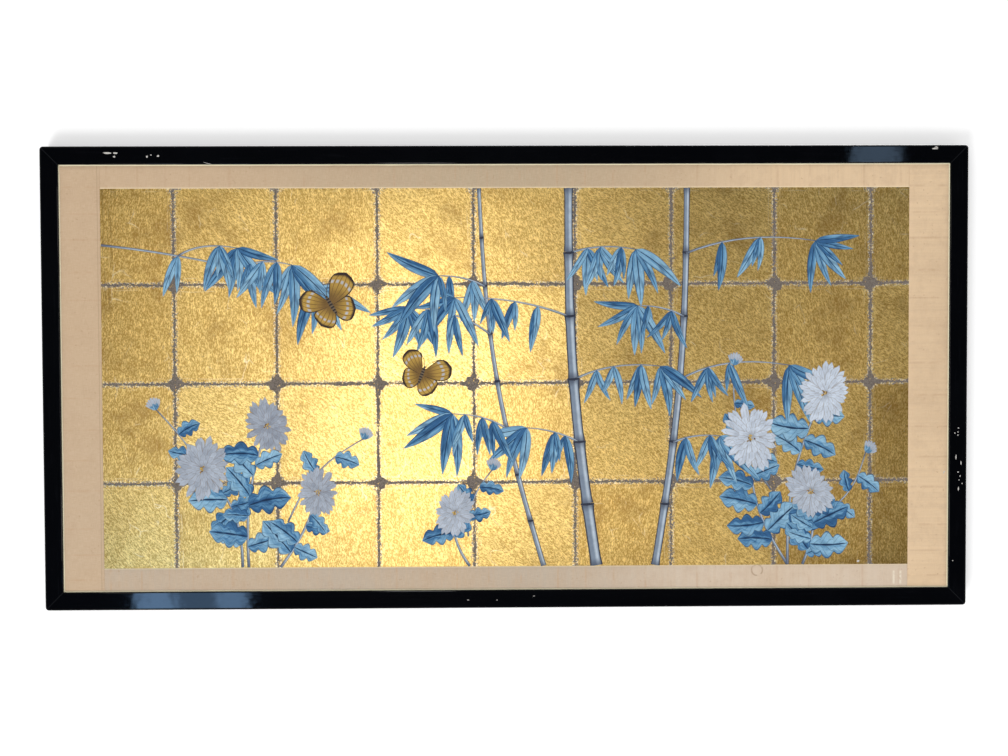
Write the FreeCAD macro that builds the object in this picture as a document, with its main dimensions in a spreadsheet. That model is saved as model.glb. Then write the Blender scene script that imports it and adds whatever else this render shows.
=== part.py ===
"""A wall panel made as one leaf of a gilded screen: a paper-covered cedar lattice in a mitred lacquer frame.

X runs to the right as the painting is seen, Z is up and Y points back to the wall. The origin is in the
middle of the wall plane, which the back of the frame lies on, so the whole panel stands at negative Y.
"""

import FreeCAD
import Part
import Sketcher

import os
import re

from FreeCAD import Placement, Rotation, Vector

# Driving dimensions, in millimetres, except for the counts
SIZES = {
    # the lacquered frame
    "panel_width": 1220,
    "panel_height": 610,
    "frame_depth": 28,
    "frame_face": 24,
    "frame_corner_round": 4.5,
    "frame_outer_round": 2.5,
    "frame_inner_round": 1.2,
    # loose tongue across each mitre
    "key_length": 16,
    "key_width": 13,
    "key_thickness": 3,
    "glue_gap": 0.1,
    # sheets over the lattice, from the face of the frame to the back
    "face_setback": 3,
    "silk_thickness": 0.7,
    "lining_thickness": 0.3,
    "base_thickness": 0.8,
    "cover_thickness": 0.4,
    "silk_side_width": 52.5,
    "silk_end_width": 30,
    "silk_reveal": 1.2,
    # painting and its gold leaf
    "painting_thickness": 0.4,
    "leaf_thickness": 0.1,
    "leaf_pitch": 130,
    "leaf_first_column": 104.5,
    "leaf_first_row": 127,
    "leaf_seam": 4,
    "leaf_corner": 13,
    # lattice core
    "core_thickness": 16,
    "core_edge": 26,
    "lattice_width": 12,
    "tenon_length": 9,
    "post_count": 6,
    "bar_count": 3,
    "block_leg": 40,
    # screws that hold the frame to the core, and the plugs over them
    "frame_screw_head": 7.5,
    "frame_screw_dome": 2.4,
    "frame_screw_shank": 3.8,
    "frame_screw_length": 36,
    "frame_screw_tip": 5,
    "frame_screw_recess": 4,
    "plug_diameter": 8.2,
    "plug_length": 5,
    "plug_headroom": 0.2,
    # screws of the two hangers
    "hanger_screw_head": 7,
    "hanger_screw_dome": 2,
    "hanger_screw_shank": 3.5,
    "hanger_screw_length": 14,
    "hanger_screw_tip": 4,
    "hanger_screw_recess": 4,
    "hanger_screw_pitch": 11,
    # fits shared by both kinds of screw
    "recess_width": 0.9,
    "recess_depth": 1.1,
    "thread_fit": 0.05,
    "shank_clearance": 0.3,
    # folded strap and its ring, with the pivot's height below the top of the frame
    "hanger_drop": 185,
    "strap_width": 14,
    "strap_thickness": 1,
    "strap_jog": 3,
    "strap_tail": 7,
    "strap_corner": 4,
    "ring_wire": 2.5,
    "ring_play": 0.08,
    "ring_inner_width": 18,
    "ring_bend": 2.5,
    "ring_leg": 3,
    "ring_rest_gap": 0.3,
    "ring_head_gap": 1.5,
    # how far a cut runs past the face that it leaves
    "overrun": 2,
}

# Places of the frame's screws, as shares of the row of lattice cells that they are counted along
RAIL_SCREW_SHARES = (0.16, 0.5, 0.84)
STILE_SCREW_SHARES = (0, 1)

# Distances in front of the wall plane
SILK_FRONT = "(frame_depth - face_setback)"
LINING_FRONT = f"({SILK_FRONT} - silk_thickness)"
PAINTING_FRONT = f"({LINING_FRONT} + painting_thickness)"
LEAF_FRONT = f"({PAINTING_FRONT} + leaf_thickness)"
BASE_FRONT = f"({LINING_FRONT} - lining_thickness)"
CORE_FRONT = f"({BASE_FRONT} - base_thickness)"
CORE_MIDDLE = f"({CORE_FRONT} - core_thickness / 2)"
CORE_BACK = f"({CORE_FRONT} - core_thickness)"
COVER_FRONT = f"({CORE_BACK} - base_thickness)"
COVER_BACK = f"({COVER_FRONT} - cover_thickness)"

# Widths and heights, seen from the front
OPENING_WIDTH = "(panel_width - 2 * frame_face)"
OPENING_HEIGHT = "(panel_height - 2 * frame_face)"
SILK_WIDTH = f"({OPENING_WIDTH} - 2 * silk_reveal)"
SILK_HEIGHT = f"({OPENING_HEIGHT} - 2 * silk_reveal)"
PAINTING_WIDTH = f"({SILK_WIDTH} - 2 * silk_side_width)"
PAINTING_HEIGHT = f"({SILK_HEIGHT} - 2 * silk_end_width)"
CORE_INNER_WIDTH = f"({OPENING_WIDTH} - 2 * core_edge)"
CORE_INNER_HEIGHT = f"({OPENING_HEIGHT} - 2 * core_edge)"
POST_PITCH = f"(({CORE_INNER_WIDTH} + lattice_width) / (post_count + 1))"
BAR_PITCH = f"(({CORE_INNER_HEIGHT} + lattice_width) / (bar_count + 1))"

# Hanger: the ring's bore, half the ring's width along its wire's centre line, and its reach below the pivot
RING_BORE = "(ring_wire / 2 + ring_play)"
RING_HALF = "((ring_inner_width + ring_wire) / 2)"
RING_DROP = "(ring_bend + ring_leg)"
FIRST_SCREW = f"({RING_DROP} + {RING_HALF} + ring_wire / 2 + ring_head_gap + hanger_screw_head / 2)"
SECOND_SCREW = f"({FIRST_SCREW} + hanger_screw_pitch)"
STRAP_LENGTH = f"({SECOND_SCREW} + strap_tail)"
STRAP_FACE = f"({COVER_BACK} - 2 * strap_thickness)"
HANGER_X = f"(({OPENING_WIDTH} - core_edge) / 2)"
HANGER_Z = "(panel_height / 2 - hanger_drop)"

LEFT, RIGHT, BOTTOM, TOP = -1, 1, -1, 1
SIDE_NAMES = {LEFT: "left", RIGHT: "right"}
END_NAMES = {BOTTOM: "bottom", TOP: "top"}

# Rotations that turn a screw's head outwards, from its own +Z
HEAD_UP = Rotation(Vector(0, 1, 0), 0)
HEAD_RIGHT = Rotation(Vector(0, 1, 0), 90)
HEAD_DOWN = Rotation(Vector(0, 1, 0), 180)
HEAD_LEFT = Rotation(Vector(0, 1, 0), -90)
HEAD_BACK = Rotation(Vector(1, 0, 0), -90)

doc = FreeCAD.newDocument("screen_panel")
nodes = []


def make_sheet():
    """The spreadsheet with one aliased cell for each driving dimension."""
    sheet = doc.addObject("Spreadsheet::Sheet", "Sizes")
    for row, (name, size) in enumerate(SIZES.items(), start=1):
        sheet.set(f"A{row}", name)
        sheet.set(f"B{row}", str(size))
        sheet.setAlias(f"B{row}", name)
    doc.recompute()


def cells(formula):
    """The formula with each size's name turned into a reference to its cell."""
    return re.sub(r"[a-z][a-z_]+", lambda m: f"Sizes.{m[0]}" if m[0] in SIZES else m[0], str(formula))


def bind(thing, **formulas):
    """Ties properties to formulas. A double underscore in a property's name stands for a dot."""
    for name, formula in formulas.items():
        thing.setExpression(name.replace("__", "."), cells(formula))
    return thing


def place(thing, x="0", y="0", z="0"):
    """Ties the place of a piece to formulas."""
    return bind(thing, Placement__Base__x=x, Placement__Base__y=y, Placement__Base__z=z)


def node(thing, label):
    """Names a finished piece, which is then written to its own file."""
    thing.Label = label
    nodes.append(thing)
    return thing


# Sketches and features of a body
def new_body(name):
    return doc.addObject("PartDesign::Body", name)


def new_sketch(body, role, offset="0"):
    """A sketch on one of the body's origin planes, moved along the plane's normal."""
    sketch = body.newObject("Sketcher::SketchObject", "sketch")
    plane = next(p for p in body.Origin.OriginFeatures if p.Role == role)
    sketch.AttachmentSupport = (plane, "")
    sketch.MapMode = "FlatFace"
    return bind(sketch, AttachmentOffset__Base__z=offset)


def fix(sketch, kind, edge, point, formula):
    """Ties one coordinate of a point of the sketch to a formula, from the sketch's origin."""
    now = sketch.getPoint(edge, point)
    value = now.x if kind == "DistanceX" else now.y
    row = sketch.addConstraint(Sketcher.Constraint(kind, -1, 1, edge, point, value))
    sketch.setExpression(f"Constraints[{row}]", cells(formula))


def fix_point(sketch, edge, point, across, up):
    fix(sketch, "DistanceX", edge, point, across)
    fix(sketch, "DistanceY", edge, point, up)


def outline(sketch, corners):
    """A closed outline of straight lines through corners that are given as formulas."""
    first = sketch.GeometryCount
    start = [Vector(i % 2, i // 2, 0) for i in range(len(corners))]
    for here, there in zip(start, start[1:] + start[:1]):
        sketch.addGeometry(Part.LineSegment(here, there), False)
    edges = list(range(first, first + len(corners)))
    for here, there in zip(edges, edges[1:] + edges[:1]):
        sketch.addConstraint(Sketcher.Constraint("Coincident", here, 2, there, 1))
    for edge, (across, up) in zip(edges, corners):
        fix_point(sketch, edge, 1, across, up)
    return sketch


def rectangle(sketch, left, bottom, right, top):
    return outline(sketch, [(left, bottom), (right, bottom), (right, top), (left, top)])


def circle(sketch, across, up, diameter):
    edge = sketch.addGeometry(Part.Circle(Vector(), Vector(0, 0, 1), 1), False)
    fix_point(sketch, edge, 3, across, up)
    row = sketch.addConstraint(Sketcher.Constraint("Diameter", edge, 2.0))
    sketch.setExpression(f"Constraints[{row}]", cells(diameter))
    return sketch


def feature(body, kind, sketch, **settings):
    """A feature made from a sketch. It has to change the body's volume."""
    before = 0 if body.Shape.isNull() else body.Shape.Volume
    made = body.newObject(f"PartDesign::{kind}", kind.lower())
    made.Profile = sketch
    for name in ("Reversed", "Midplane", "Type"):
        if name in settings:
            setattr(made, name, settings.pop(name))
    bind(made, **settings)
    doc.recompute()
    if abs(body.Shape.Volume - before) < 1e-6:
        raise ValueError(f"{kind} leaves {body.Label} as it was")
    return made


def repeat(body, original, sketch, axis, count, pitch):
    """Copies of a feature in a row along one of its sketch's axes."""
    row = body.newObject("PartDesign::LinearPattern", "row")
    row.Originals = [original]
    row.Direction = (sketch, [axis])
    bind(row, Occurrences=count, Length=f"({count} - 1) * {pitch}")
    body.Tip = row
    doc.recompute()
    return row


def round_edges(body, radius, wanted):
    """Rounds the edges of which the middle passes the test."""
    tip = body.Tip
    edges = enumerate(tip.Shape.Edges, start=1)
    names = [f"Edge{i}" for i, edge in edges if wanted(edge.BoundBox.Center)]
    fillet = body.newObject("PartDesign::Fillet", "fillet")
    fillet.Base = (tip, names)
    bind(fillet, Radius=radius)
    doc.recompute()
    return fillet


# Plain solids and booleans
def slab(name, left, bottom, width, height, front, thickness):
    """A flat sheet or board, placed by its lower left corner and its distance in front of the wall."""
    box = doc.addObject("Part::Box", name)
    bind(box, Length=width, Width=thickness, Height=height)
    return place(box, left, f"-{front}", bottom)


def centred_slab(name, width, height, front, thickness):
    return slab(name, f"-{width} / 2", f"-{height} / 2", width, height, front, thickness)


def rod(name, diameter, length, turn, x, y, z):
    """A cylinder that runs from its place along the turned -Z, as a screw runs from its head."""
    solid = doc.addObject("Part::Cylinder", name)
    solid.Placement = Placement(Vector(), turn * Rotation(Vector(1, 0, 0), 180))
    bind(solid, Radius=f"({diameter}) / 2", Height=length)
    return place(solid, x, y, z)


def join(name, pieces, kind="Part::MultiFuse"):
    made = doc.addObject(kind, name)
    if kind == "Part::Compound":
        made.Links = pieces
    else:
        made.Shapes = pieces
    return made


def cut(name, base, tools):
    made = doc.addObject("Part::Cut", name)
    made.Base = base
    made.Tool = tools[0] if len(tools) == 1 else join(f"{name}_tools", tools)
    return made


# Lacquered frame
def pairs(upright, points):
    """Points given along and across a member, turned into the sketch's X and Z."""
    return [(across, along) if upright else (along, across) for along, across in points]


def key_corners(side, end, grow):
    """The tongue's four corners. It lies square across the mitre, in the middle of it."""
    centre_x = f"{side} * (panel_width - frame_face) / 2"
    centre_z = f"{end} * (panel_height - frame_face) / 2"
    corners = []
    for long_way, cross_way in ((1, 1), (1, -1), (-1, -1), (-1, 1)):
        half_long = f"{long_way} * (key_length + 2 * {grow}) / 2"
        half_cross = f"{cross_way} * (key_width + 2 * {grow}) / 2"
        across = f"{centre_x} + {side} * ({half_cross} + {half_long}) / sqrt(2)"
        up = f"{centre_z} + {end} * ({half_cross} - {half_long}) / sqrt(2)"
        corners.append((across, up))
    return corners


def corner_nib(sketch, side, end):
    """What is cut off a corner of the frame to round it: the square corner outside an arc."""
    radius = SIZES["frame_corner_round"]
    x, z = side * SIZES["panel_width"] / 2, end * SIZES["panel_height"] / 2
    centre = Vector(x - side * radius, z - end * radius, 0)
    corner, level, upright = Vector(x, z, 0), Vector(centre.x, z, 0), Vector(x, centre.y, 0)
    middle = centre + Vector(side, end, 0) * radius / 2**0.5
    arc = sketch.addGeometry(Part.Arc(level, middle, upright), False)
    first, second = (1, 2) if sketch.getPoint(arc, 1).isEqual(level, radius / 2) else (2, 1)
    level_edge = sketch.addGeometry(Part.LineSegment(level, corner), False)
    upright_edge = sketch.addGeometry(Part.LineSegment(corner, upright), False)
    for joined in ((level_edge, 1, arc, first), (level_edge, 2, upright_edge, 1), (upright_edge, 2, arc, second)):
        sketch.addConstraint(Sketcher.Constraint("Coincident", *joined))
    from_side = f"{side} * (panel_width / 2 - frame_corner_round)"
    from_end = f"{end} * (panel_height / 2 - frame_corner_round)"
    fix_point(sketch, arc, 3, from_side, from_end)
    fix_point(sketch, level_edge, 2, f"{side} * panel_width / 2", f"{end} * panel_height / 2")
    fix(sketch, "DistanceX", level_edge, 1, from_side)
    fix(sketch, "DistanceY", upright_edge, 2, from_end)
    row = sketch.addConstraint(Sketcher.Constraint("Radius", arc, radius))
    sketch.setExpression(f"Constraints[{row}]", cells("frame_corner_round"))


def frame_member(label, upright, outward, holes):
    """A rail or stile: mitred ends, rounded front edges, slots for the tongues and holes for the screws."""
    half_length = "panel_height / 2" if upright else "panel_width / 2"
    half_across = "panel_width / 2" if upright else "panel_height / 2"
    body = new_body(f"{label}_bar")
    sketch = new_sketch(body, "XZ_Plane")
    corners = [
        (f"-{half_length}", f"{outward} * {half_across}"),
        (half_length, f"{outward} * {half_across}"),
        (f"{half_length} - frame_face", f"{outward} * ({half_across} - frame_face)"),
        (f"frame_face - {half_length}", f"{outward} * ({half_across} - frame_face)"),
    ]
    outline(sketch, pairs(upright, corners))
    feature(body, "Pad", sketch, Length="frame_depth")
    nibs = new_sketch(body, "XZ_Plane")
    for end in (-1, 1):
        corner_nib(nibs, *((outward, end) if upright else (end, outward)))
    feature(body, "Pocket", nibs, Midplane=True, Type="ThroughAll")
    outer = SIZES["panel_width" if upright else "panel_height"] / 2
    for radius, level in (("frame_outer_round", outer), ("frame_inner_round", outer - SIZES["frame_face"])):
        round_edges(
            body,
            radius,
            lambda p: is_at(p.y, -SIZES["frame_depth"]) and is_at(abs(p.x if upright else p.z), level),
        )
    slots = new_sketch(body, "XZ_Plane", "frame_depth / 2")
    for end in (-1, 1):
        side, top = (outward, end) if upright else (end, outward)
        outline(slots, key_corners(side, top, "glue_gap"))
    feature(body, "Pocket", slots, Midplane=True, Length="key_thickness + 2 * glue_gap")
    return node(cut(label, body, holes), label)


def is_at(value, wanted):
    return abs(value - wanted) < 1e-4


def mitre_key(side, end):
    """The loose tongue that is glued into both slots of a mitre."""
    label = f"mitre_key_{END_NAMES[end]}_{SIDE_NAMES[side]}"
    body = new_body(label)
    sketch = outline(new_sketch(body, "XZ_Plane", "frame_depth / 2"), key_corners(side, end, "0"))
    feature(body, "Pad", sketch, Midplane=True, Length="key_thickness")
    node(body, label)


# Lattice core
def core_member(label, upright, centre, width, half_length, lap, notch, holes=()):
    """A strip of the core. Level strips lose half their depth from the front, upright ones from the back.

    lap is the length of the half-lap at each end. notch gives the count, pitch and the two limits across
    the strip of the housings in which the strips that cross it lie.
    """
    body = new_body(f"{label}_strip")
    board = new_sketch(body, "XZ_Plane", CORE_FRONT)
    low, high = f"{centre} - {width} / 2", f"{centre} + {width} / 2"
    ends = [(f"-{half_length}", low), (half_length, low), (half_length, high), (f"-{half_length}", high)]
    outline(board, pairs(upright, ends))
    feature(body, "Pad", board, Reversed=True, Length="core_thickness")

    cut_plane = CORE_BACK if upright else CORE_FRONT
    laps = new_sketch(body, "XZ_Plane", cut_plane)
    past_low, past_high = f"{low} - overrun", f"{high} + overrun"
    for end in (-1, 1):
        inner, outer = f"{end} * ({half_length} - {lap})", f"{end} * ({half_length} + overrun)"
        corners = [(inner, past_low), (outer, past_low), (outer, past_high), (inner, past_high)]
        outline(laps, pairs(upright, corners))
    feature(body, "Pocket", laps, Reversed=upright, Length="core_thickness / 2")

    count, pitch, notch_low, notch_high = notch
    housing = new_sketch(body, "XZ_Plane", cut_plane)
    first = f"-({count} - 1) * {pitch} / 2"
    left, right = f"{first} - lattice_width / 2", f"{first} + lattice_width / 2"
    corners = [(left, notch_low), (right, notch_low), (right, notch_high), (left, notch_high)]
    outline(housing, pairs(upright, corners))
    pocket = feature(body, "Pocket", housing, Reversed=upright, Length="core_thickness / 2")
    repeat(body, pocket, housing, "V_Axis" if upright else "H_Axis", count, pitch)
    return node(cut(label, body, holes) if holes else body, label)


def core_edge(label, upright, outward, holes):
    """A stile or rail of the core's rim, with housings for the stub ends of the strips."""
    opening = OPENING_WIDTH if upright else OPENING_HEIGHT
    count, pitch = ("bar_count", BAR_PITCH) if upright else ("post_count", POST_PITCH)
    inner_face = f"{outward} * ({opening} / 2 - core_edge)"
    return core_member(
        label,
        upright,
        centre=f"{outward} * ({opening} - core_edge) / 2",
        width="core_edge",
        half_length=f"{OPENING_HEIGHT if upright else OPENING_WIDTH} / 2",
        lap="core_edge",
        notch=(
            count,
            pitch,
            f"{inner_face} - {outward} * overrun",
            f"{inner_face} + {outward} * tenon_length",
        ),
        holes=holes,
    )


def lattice_strip(label, upright, number):
    """One of the thin strips inside the rim, counted from the left or from the bottom."""
    own = ("post_count", POST_PITCH) if upright else ("bar_count", BAR_PITCH)
    crossing = ("bar_count", BAR_PITCH) if upright else ("post_count", POST_PITCH)
    inner = CORE_INNER_HEIGHT if upright else CORE_INNER_WIDTH
    centre = f"({number} - ({own[0]} + 1) / 2) * {own[1]}"
    reach = "(lattice_width / 2 + overrun)"
    return core_member(
        label,
        upright,
        centre=centre,
        width="lattice_width",
        half_length=f"({inner} / 2 + tenon_length)",
        lap="tenon_length",
        notch=(*crossing, f"{centre} - {reach}", f"{centre} + {reach}"),
    )


def corner_block(side, end):
    """A triangular block glued into a corner of the rim, which keeps the core square."""
    label = f"corner_block_{END_NAMES[end]}_{SIDE_NAMES[side]}"
    body = new_body(label)
    x, z = f"{CORE_INNER_WIDTH} / 2", f"{CORE_INNER_HEIGHT} / 2"
    corners = [
        (f"{side} * {x}", f"{end} * {z}"),
        (f"{side} * ({x} - block_leg)", f"{end} * {z}"),
        (f"{side} * {x}", f"{end} * ({z} - block_leg)"),
    ]
    sketch = outline(new_sketch(body, "XZ_Plane", CORE_FRONT), corners)
    feature(body, "Pad", sketch, Reversed=True, Length="core_thickness")
    node(body, label)


# Screws and plugs
def screw(name, kind, turn, x, y, z):
    """A cross-head wood screw. Its place is the middle of the face under its domed head."""
    head, dome, shank = f"{kind}_screw_head", f"{kind}_screw_dome", f"{kind}_screw_shank"
    length, tip, recess = f"{kind}_screw_length", f"{kind}_screw_tip", f"{kind}_screw_recess"
    ball = f"((({head}) ^ 2 / 4 + ({dome}) ^ 2) / (2 * {dome}))"

    cap = doc.addObject("Part::Sphere", "dome")
    bind(cap, Radius=ball, Angle1=f"asin(({ball} - {dome}) / {ball})")
    place(cap, z=f"{dome} - {ball}")
    body = doc.addObject("Part::Cylinder", "shank")
    bind(body, Radius=f"{shank} / 2", Height=f"{length} - {tip}")
    place(body, z=f"{tip} - {length}")
    point = doc.addObject("Part::Cone", "tip")
    bind(point, Radius1="0", Radius2=f"{shank} / 2", Height=tip)
    place(point, z=f"-{length}")

    slots = []
    for long_way, short_way in ((recess, "recess_width"), ("recess_width", recess)):
        slot = doc.addObject("Part::Box", "slot")
        bind(slot, Length=long_way, Width=short_way, Height="recess_depth + overrun")
        slots.append(place(slot, f"-{long_way} / 2", f"-{short_way} / 2", f"{dome} - recess_depth"))
    made = cut(name, join(f"{name}_blank", [cap, body, point]), slots)
    made.Placement = Placement(Vector(), turn)
    return place(made, x, y, z)


class FrameScrew:
    """One place where a screw goes through the frame into the core, with the tools that make its holes."""

    def __init__(self, upright, outward, share):
        count, pitch = ("bar_count", BAR_PITCH) if upright else ("post_count", POST_PITCH)
        self.upright = upright
        self.outward = outward
        self.along = f"((round({share} * {count}) - {count} / 2) * {pitch})"
        self.edge = "panel_width / 2" if upright else "panel_height / 2"
        if upright:
            self.turn = HEAD_RIGHT if outward > 0 else HEAD_LEFT
        else:
            self.turn = HEAD_UP if outward > 0 else HEAD_DOWN

    def spot(self, depth):
        """The place on the screw's line at a depth below the frame's outer edge."""
        across = f"{self.outward} * ({self.edge} - {depth})"
        x, z = (across, self.along) if self.upright else (self.along, across)
        return x, f"-{CORE_MIDDLE}", z

    def screw(self):
        seat = "(plug_length + plug_headroom + frame_screw_dome)"
        return screw("frame_screw", "frame", self.turn, *self.spot(seat))

    def plug(self):
        return rod("plug", "plug_diameter", "plug_length", self.turn, *self.spot("0"))

    def frame_holes(self):
        """The counterbore for the head and plug, and the clear hole for the shank."""
        wide = rod(
            "counterbore",
            "plug_diameter + 2 * thread_fit",
            "plug_length + plug_headroom + frame_screw_dome + overrun",
            self.turn,
            *self.spot("-overrun"),
        )
        narrow = rod(
            "shank_hole",
            "frame_screw_shank + 2 * shank_clearance",
            "frame_face + 2 * overrun",
            self.turn,
            *self.spot("-overrun"),
        )
        return [wide, narrow]

    def core_hole(self):
        """The pilot hole that the thread bites in."""
        depth = "plug_length + plug_headroom + frame_screw_dome + frame_screw_length + thread_fit"
        diameter = "frame_screw_shank + 2 * thread_fit"
        return rod("pilot_hole", diameter, depth, self.turn, *self.spot("0"))


def hanger_hole(side, drop):
    """The hole of one hanger screw, through the sheets at the back and into the core."""
    return rod(
        "hanger_hole",
        "hanger_screw_shank + 2 * thread_fit",
        "hanger_screw_length + thread_fit",
        HEAD_BACK,
        f"{side} * {HANGER_X}",
        f"-{STRAP_FACE}",
        f"{HANGER_Z} - {drop}",
    )


# Hangers
def hanger_strap(side):
    """A metal strip folded over the ring's bar and closed by its two screws."""
    label = f"hanger_strap_{SIDE_NAMES[side]}"
    body = new_body(label)
    inner, outer = RING_BORE, f"({RING_BORE} + strap_thickness)"
    end, knee = f"-{STRAP_LENGTH}", f"-{RING_BORE} - strap_jog"
    leaves = new_sketch(body, "YZ_Plane")
    outline(
        leaves,
        [
            (f"-{outer}", "0"),
            (f"-{inner}", "0"),
            (f"-{inner}", knee),
            (inner, f"-{inner}"),
            (inner, "0"),
            (outer, "0"),
            (outer, f"-{inner}"),
            (f"strap_thickness - {inner}", knee),
            (f"strap_thickness - {inner}", end),
            (f"-{outer}", end),
        ],
    )
    feature(body, "Pad", leaves, Midplane=True, Length="strap_width")

    fold = rectangle(new_sketch(body, "XY_Plane"), "-strap_width / 2", inner, "strap_width / 2", outer)
    bend = body.newObject("PartDesign::Revolution", "fold")
    bend.Profile = fold
    bend.ReferenceAxis = (fold, ["H_Axis"])
    bend.Angle = 180
    doc.recompute()

    tail = bend.Shape.BoundBox.ZMin
    round_edges(body, "strap_corner", lambda p: is_at(p.z, tail) and is_at(abs(p.x), SIZES["strap_width"] / 2))
    holes = new_sketch(body, "XZ_Plane")
    for drop in (FIRST_SCREW, SECOND_SCREW):
        circle(holes, "0", f"-{drop}", "hanger_screw_shank + 2 * shank_clearance")
    feature(body, "Pocket", holes, Midplane=True, Type="ThroughAll")
    place(body, f"{side} * {HANGER_X}", f"-({COVER_BACK} - {outer})", HANGER_Z)
    node(body, label)


def torus(name, radius, sweep, turn, x, z):
    """Part of a round bend of the ring's wire, in the plane of the ring."""
    bend = doc.addObject("Part::Torus", name)
    bend.Angle3 = sweep
    bend.Placement = Placement(Vector(), turn * Rotation(Vector(1, 0, 0), 90))
    bind(bend, Radius1=radius, Radius2="ring_wire / 2")
    return place(bend, x, "0", z)


def hanger_ring(side):
    """A D-shaped wire ring that hangs from the fold, and leans out just enough to clear the strap."""
    about_y = Vector(0, 1, 0)
    bar_half = f"({RING_HALF} - ring_bend)"
    pieces = [
        rod("bar", "ring_wire", f"2 * {bar_half}", HEAD_LEFT, f"-{bar_half}", "0", "0"),
        torus("bow", RING_HALF, 180, Rotation(about_y, 180), "0", f"-{RING_DROP}"),
    ]
    for way, turn in ((LEFT, 270), (RIGHT, 0)):
        leg = rod("leg", "ring_wire", "ring_leg", HEAD_UP, f"{way} * {RING_HALF}", "0", "-ring_bend")
        bend = torus("bend", "ring_bend", 90, Rotation(about_y, turn), f"{way} * {bar_half}", "-ring_bend")
        pieces += [leg, bend]
    ring = join(f"hanger_ring_{SIDE_NAMES[side]}", pieces)
    ring.Placement = Placement(Vector(), Rotation(Vector(1, 0, 0), 1))
    lean_over = f"(ring_wire / 2 + strap_thickness - {RING_BORE} + ring_rest_gap)"
    crossing = f"({RING_DROP} + sqrt({RING_HALF} ^ 2 - strap_width ^ 2 / 4))"
    bind(ring, Placement__Rotation__Angle=f"asin({lean_over} / {crossing})")
    place(ring, f"{side} * {HANGER_X}", f"-({COVER_BACK} - {RING_BORE} - strap_thickness)", HANGER_Z)
    node(ring, f"hanger_ring_{SIDE_NAMES[side]}")


def hanger_screws(side):
    screws = [
        screw(
            f"hanger_screw_{SIDE_NAMES[side]}",
            "hanger",
            HEAD_BACK,
            f"{side} * {HANGER_X}",
            f"-{STRAP_FACE}",
            f"{HANGER_Z} - {drop}",
        )
        for drop in (FIRST_SCREW, SECOND_SCREW)
    ]
    node(join("hanger_screw_pair", screws, "Part::Compound"), f"hanger_screws_{SIDE_NAMES[side]}")


# Sheets on the face and the back
def silk_border():
    """Four strips of silk. The side strips run the whole height, the others lie between them."""
    for side in (LEFT, RIGHT):
        left = f"-{SILK_WIDTH} / 2" if side == LEFT else f"{SILK_WIDTH} / 2 - silk_side_width"
        label = f"silk_strip_{SIDE_NAMES[side]}"
        bottom = f"-{SILK_HEIGHT} / 2"
        strip = slab(label, left, bottom, "silk_side_width", SILK_HEIGHT, SILK_FRONT, "silk_thickness")
        node(strip, label)
    for end in (BOTTOM, TOP):
        bottom = f"-{SILK_HEIGHT} / 2" if end == BOTTOM else f"{SILK_HEIGHT} / 2 - silk_end_width"
        label = f"silk_strip_{END_NAMES[end]}"
        left = f"-{PAINTING_WIDTH} / 2"
        strip = slab(label, left, bottom, PAINTING_WIDTH, "silk_end_width", SILK_FRONT, "silk_thickness")
        node(strip, label)


def seams(first, extent):
    """Formulas for the places of the seams along one edge of the painting, from the first seam on."""
    count = int((extent - SIZES[first]) / SIZES["leaf_pitch"]) + 1
    return [f"({first} + {i} * leaf_pitch)" for i in range(count)]


def gold_leaf():
    """The squares of leaf, as one thin layer that is parted along its seams and at their crossings."""
    layer = centred_slab("leaf_layer", PAINTING_WIDTH, PAINTING_HEIGHT, LEAF_FRONT, "leaf_thickness")
    doc.recompute()
    ahead, deep = f"({LEAF_FRONT} + overrun)", "leaf_thickness + 2 * overrun"
    columns = seams("leaf_first_column", layer.Length.Value)
    rows = seams("leaf_first_row", layer.Height.Value)
    left, top = f"-{PAINTING_WIDTH} / 2", f"{PAINTING_HEIGHT} / 2"
    gaps = [
        slab("column_gap", f"{left} + {x} - leaf_seam / 2", f"-{top}", "leaf_seam", PAINTING_HEIGHT, ahead, deep)
        for x in columns
    ]
    gaps += [
        slab("row_gap", left, f"{top} - {z} - leaf_seam / 2", PAINTING_WIDTH, "leaf_seam", ahead, deep)
        for z in rows
    ]
    for x in columns:
        for z in rows:
            gap = doc.addObject("Part::Box", "corner_gap")
            gap.Placement = Placement(Vector(), Rotation(Vector(0, 1, 0), 45))
            bind(gap, Length="leaf_corner", Width=deep, Height="leaf_corner")
            place(gap, f"{left} + {x} - leaf_corner / sqrt(2)", f"-{ahead}", f"{top} - {z}")
            gaps.append(gap)
    node(cut("gold_leaf_cut", layer, gaps), "gold_leaf_squares")


def sheets():
    """The painting and the papers that are pasted over both faces of the core."""
    painting = centred_slab("painting", PAINTING_WIDTH, PAINTING_HEIGHT, PAINTING_FRONT, "painting_thickness")
    node(painting, "painting_sheet")
    lining = centred_slab("lining", OPENING_WIDTH, OPENING_HEIGHT, LINING_FRONT, "lining_thickness")
    node(lining, "front_lining_paper")
    base = centred_slab("front_base", OPENING_WIDTH, OPENING_HEIGHT, BASE_FRONT, "base_thickness")
    node(base, "front_base_paper")
    for name, front, thickness in (
        ("back_base_paper", CORE_BACK, "base_thickness"),
        ("back_cover_paper", COVER_FRONT, "cover_thickness"),
    ):
        plain = centred_slab(f"{name}_plain", OPENING_WIDTH, OPENING_HEIGHT, front, thickness)
        holes = [hanger_hole(side, drop) for side in (LEFT, RIGHT) for drop in (FIRST_SCREW, SECOND_SCREW)]
        node(cut(name, plain, holes), name)


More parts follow.
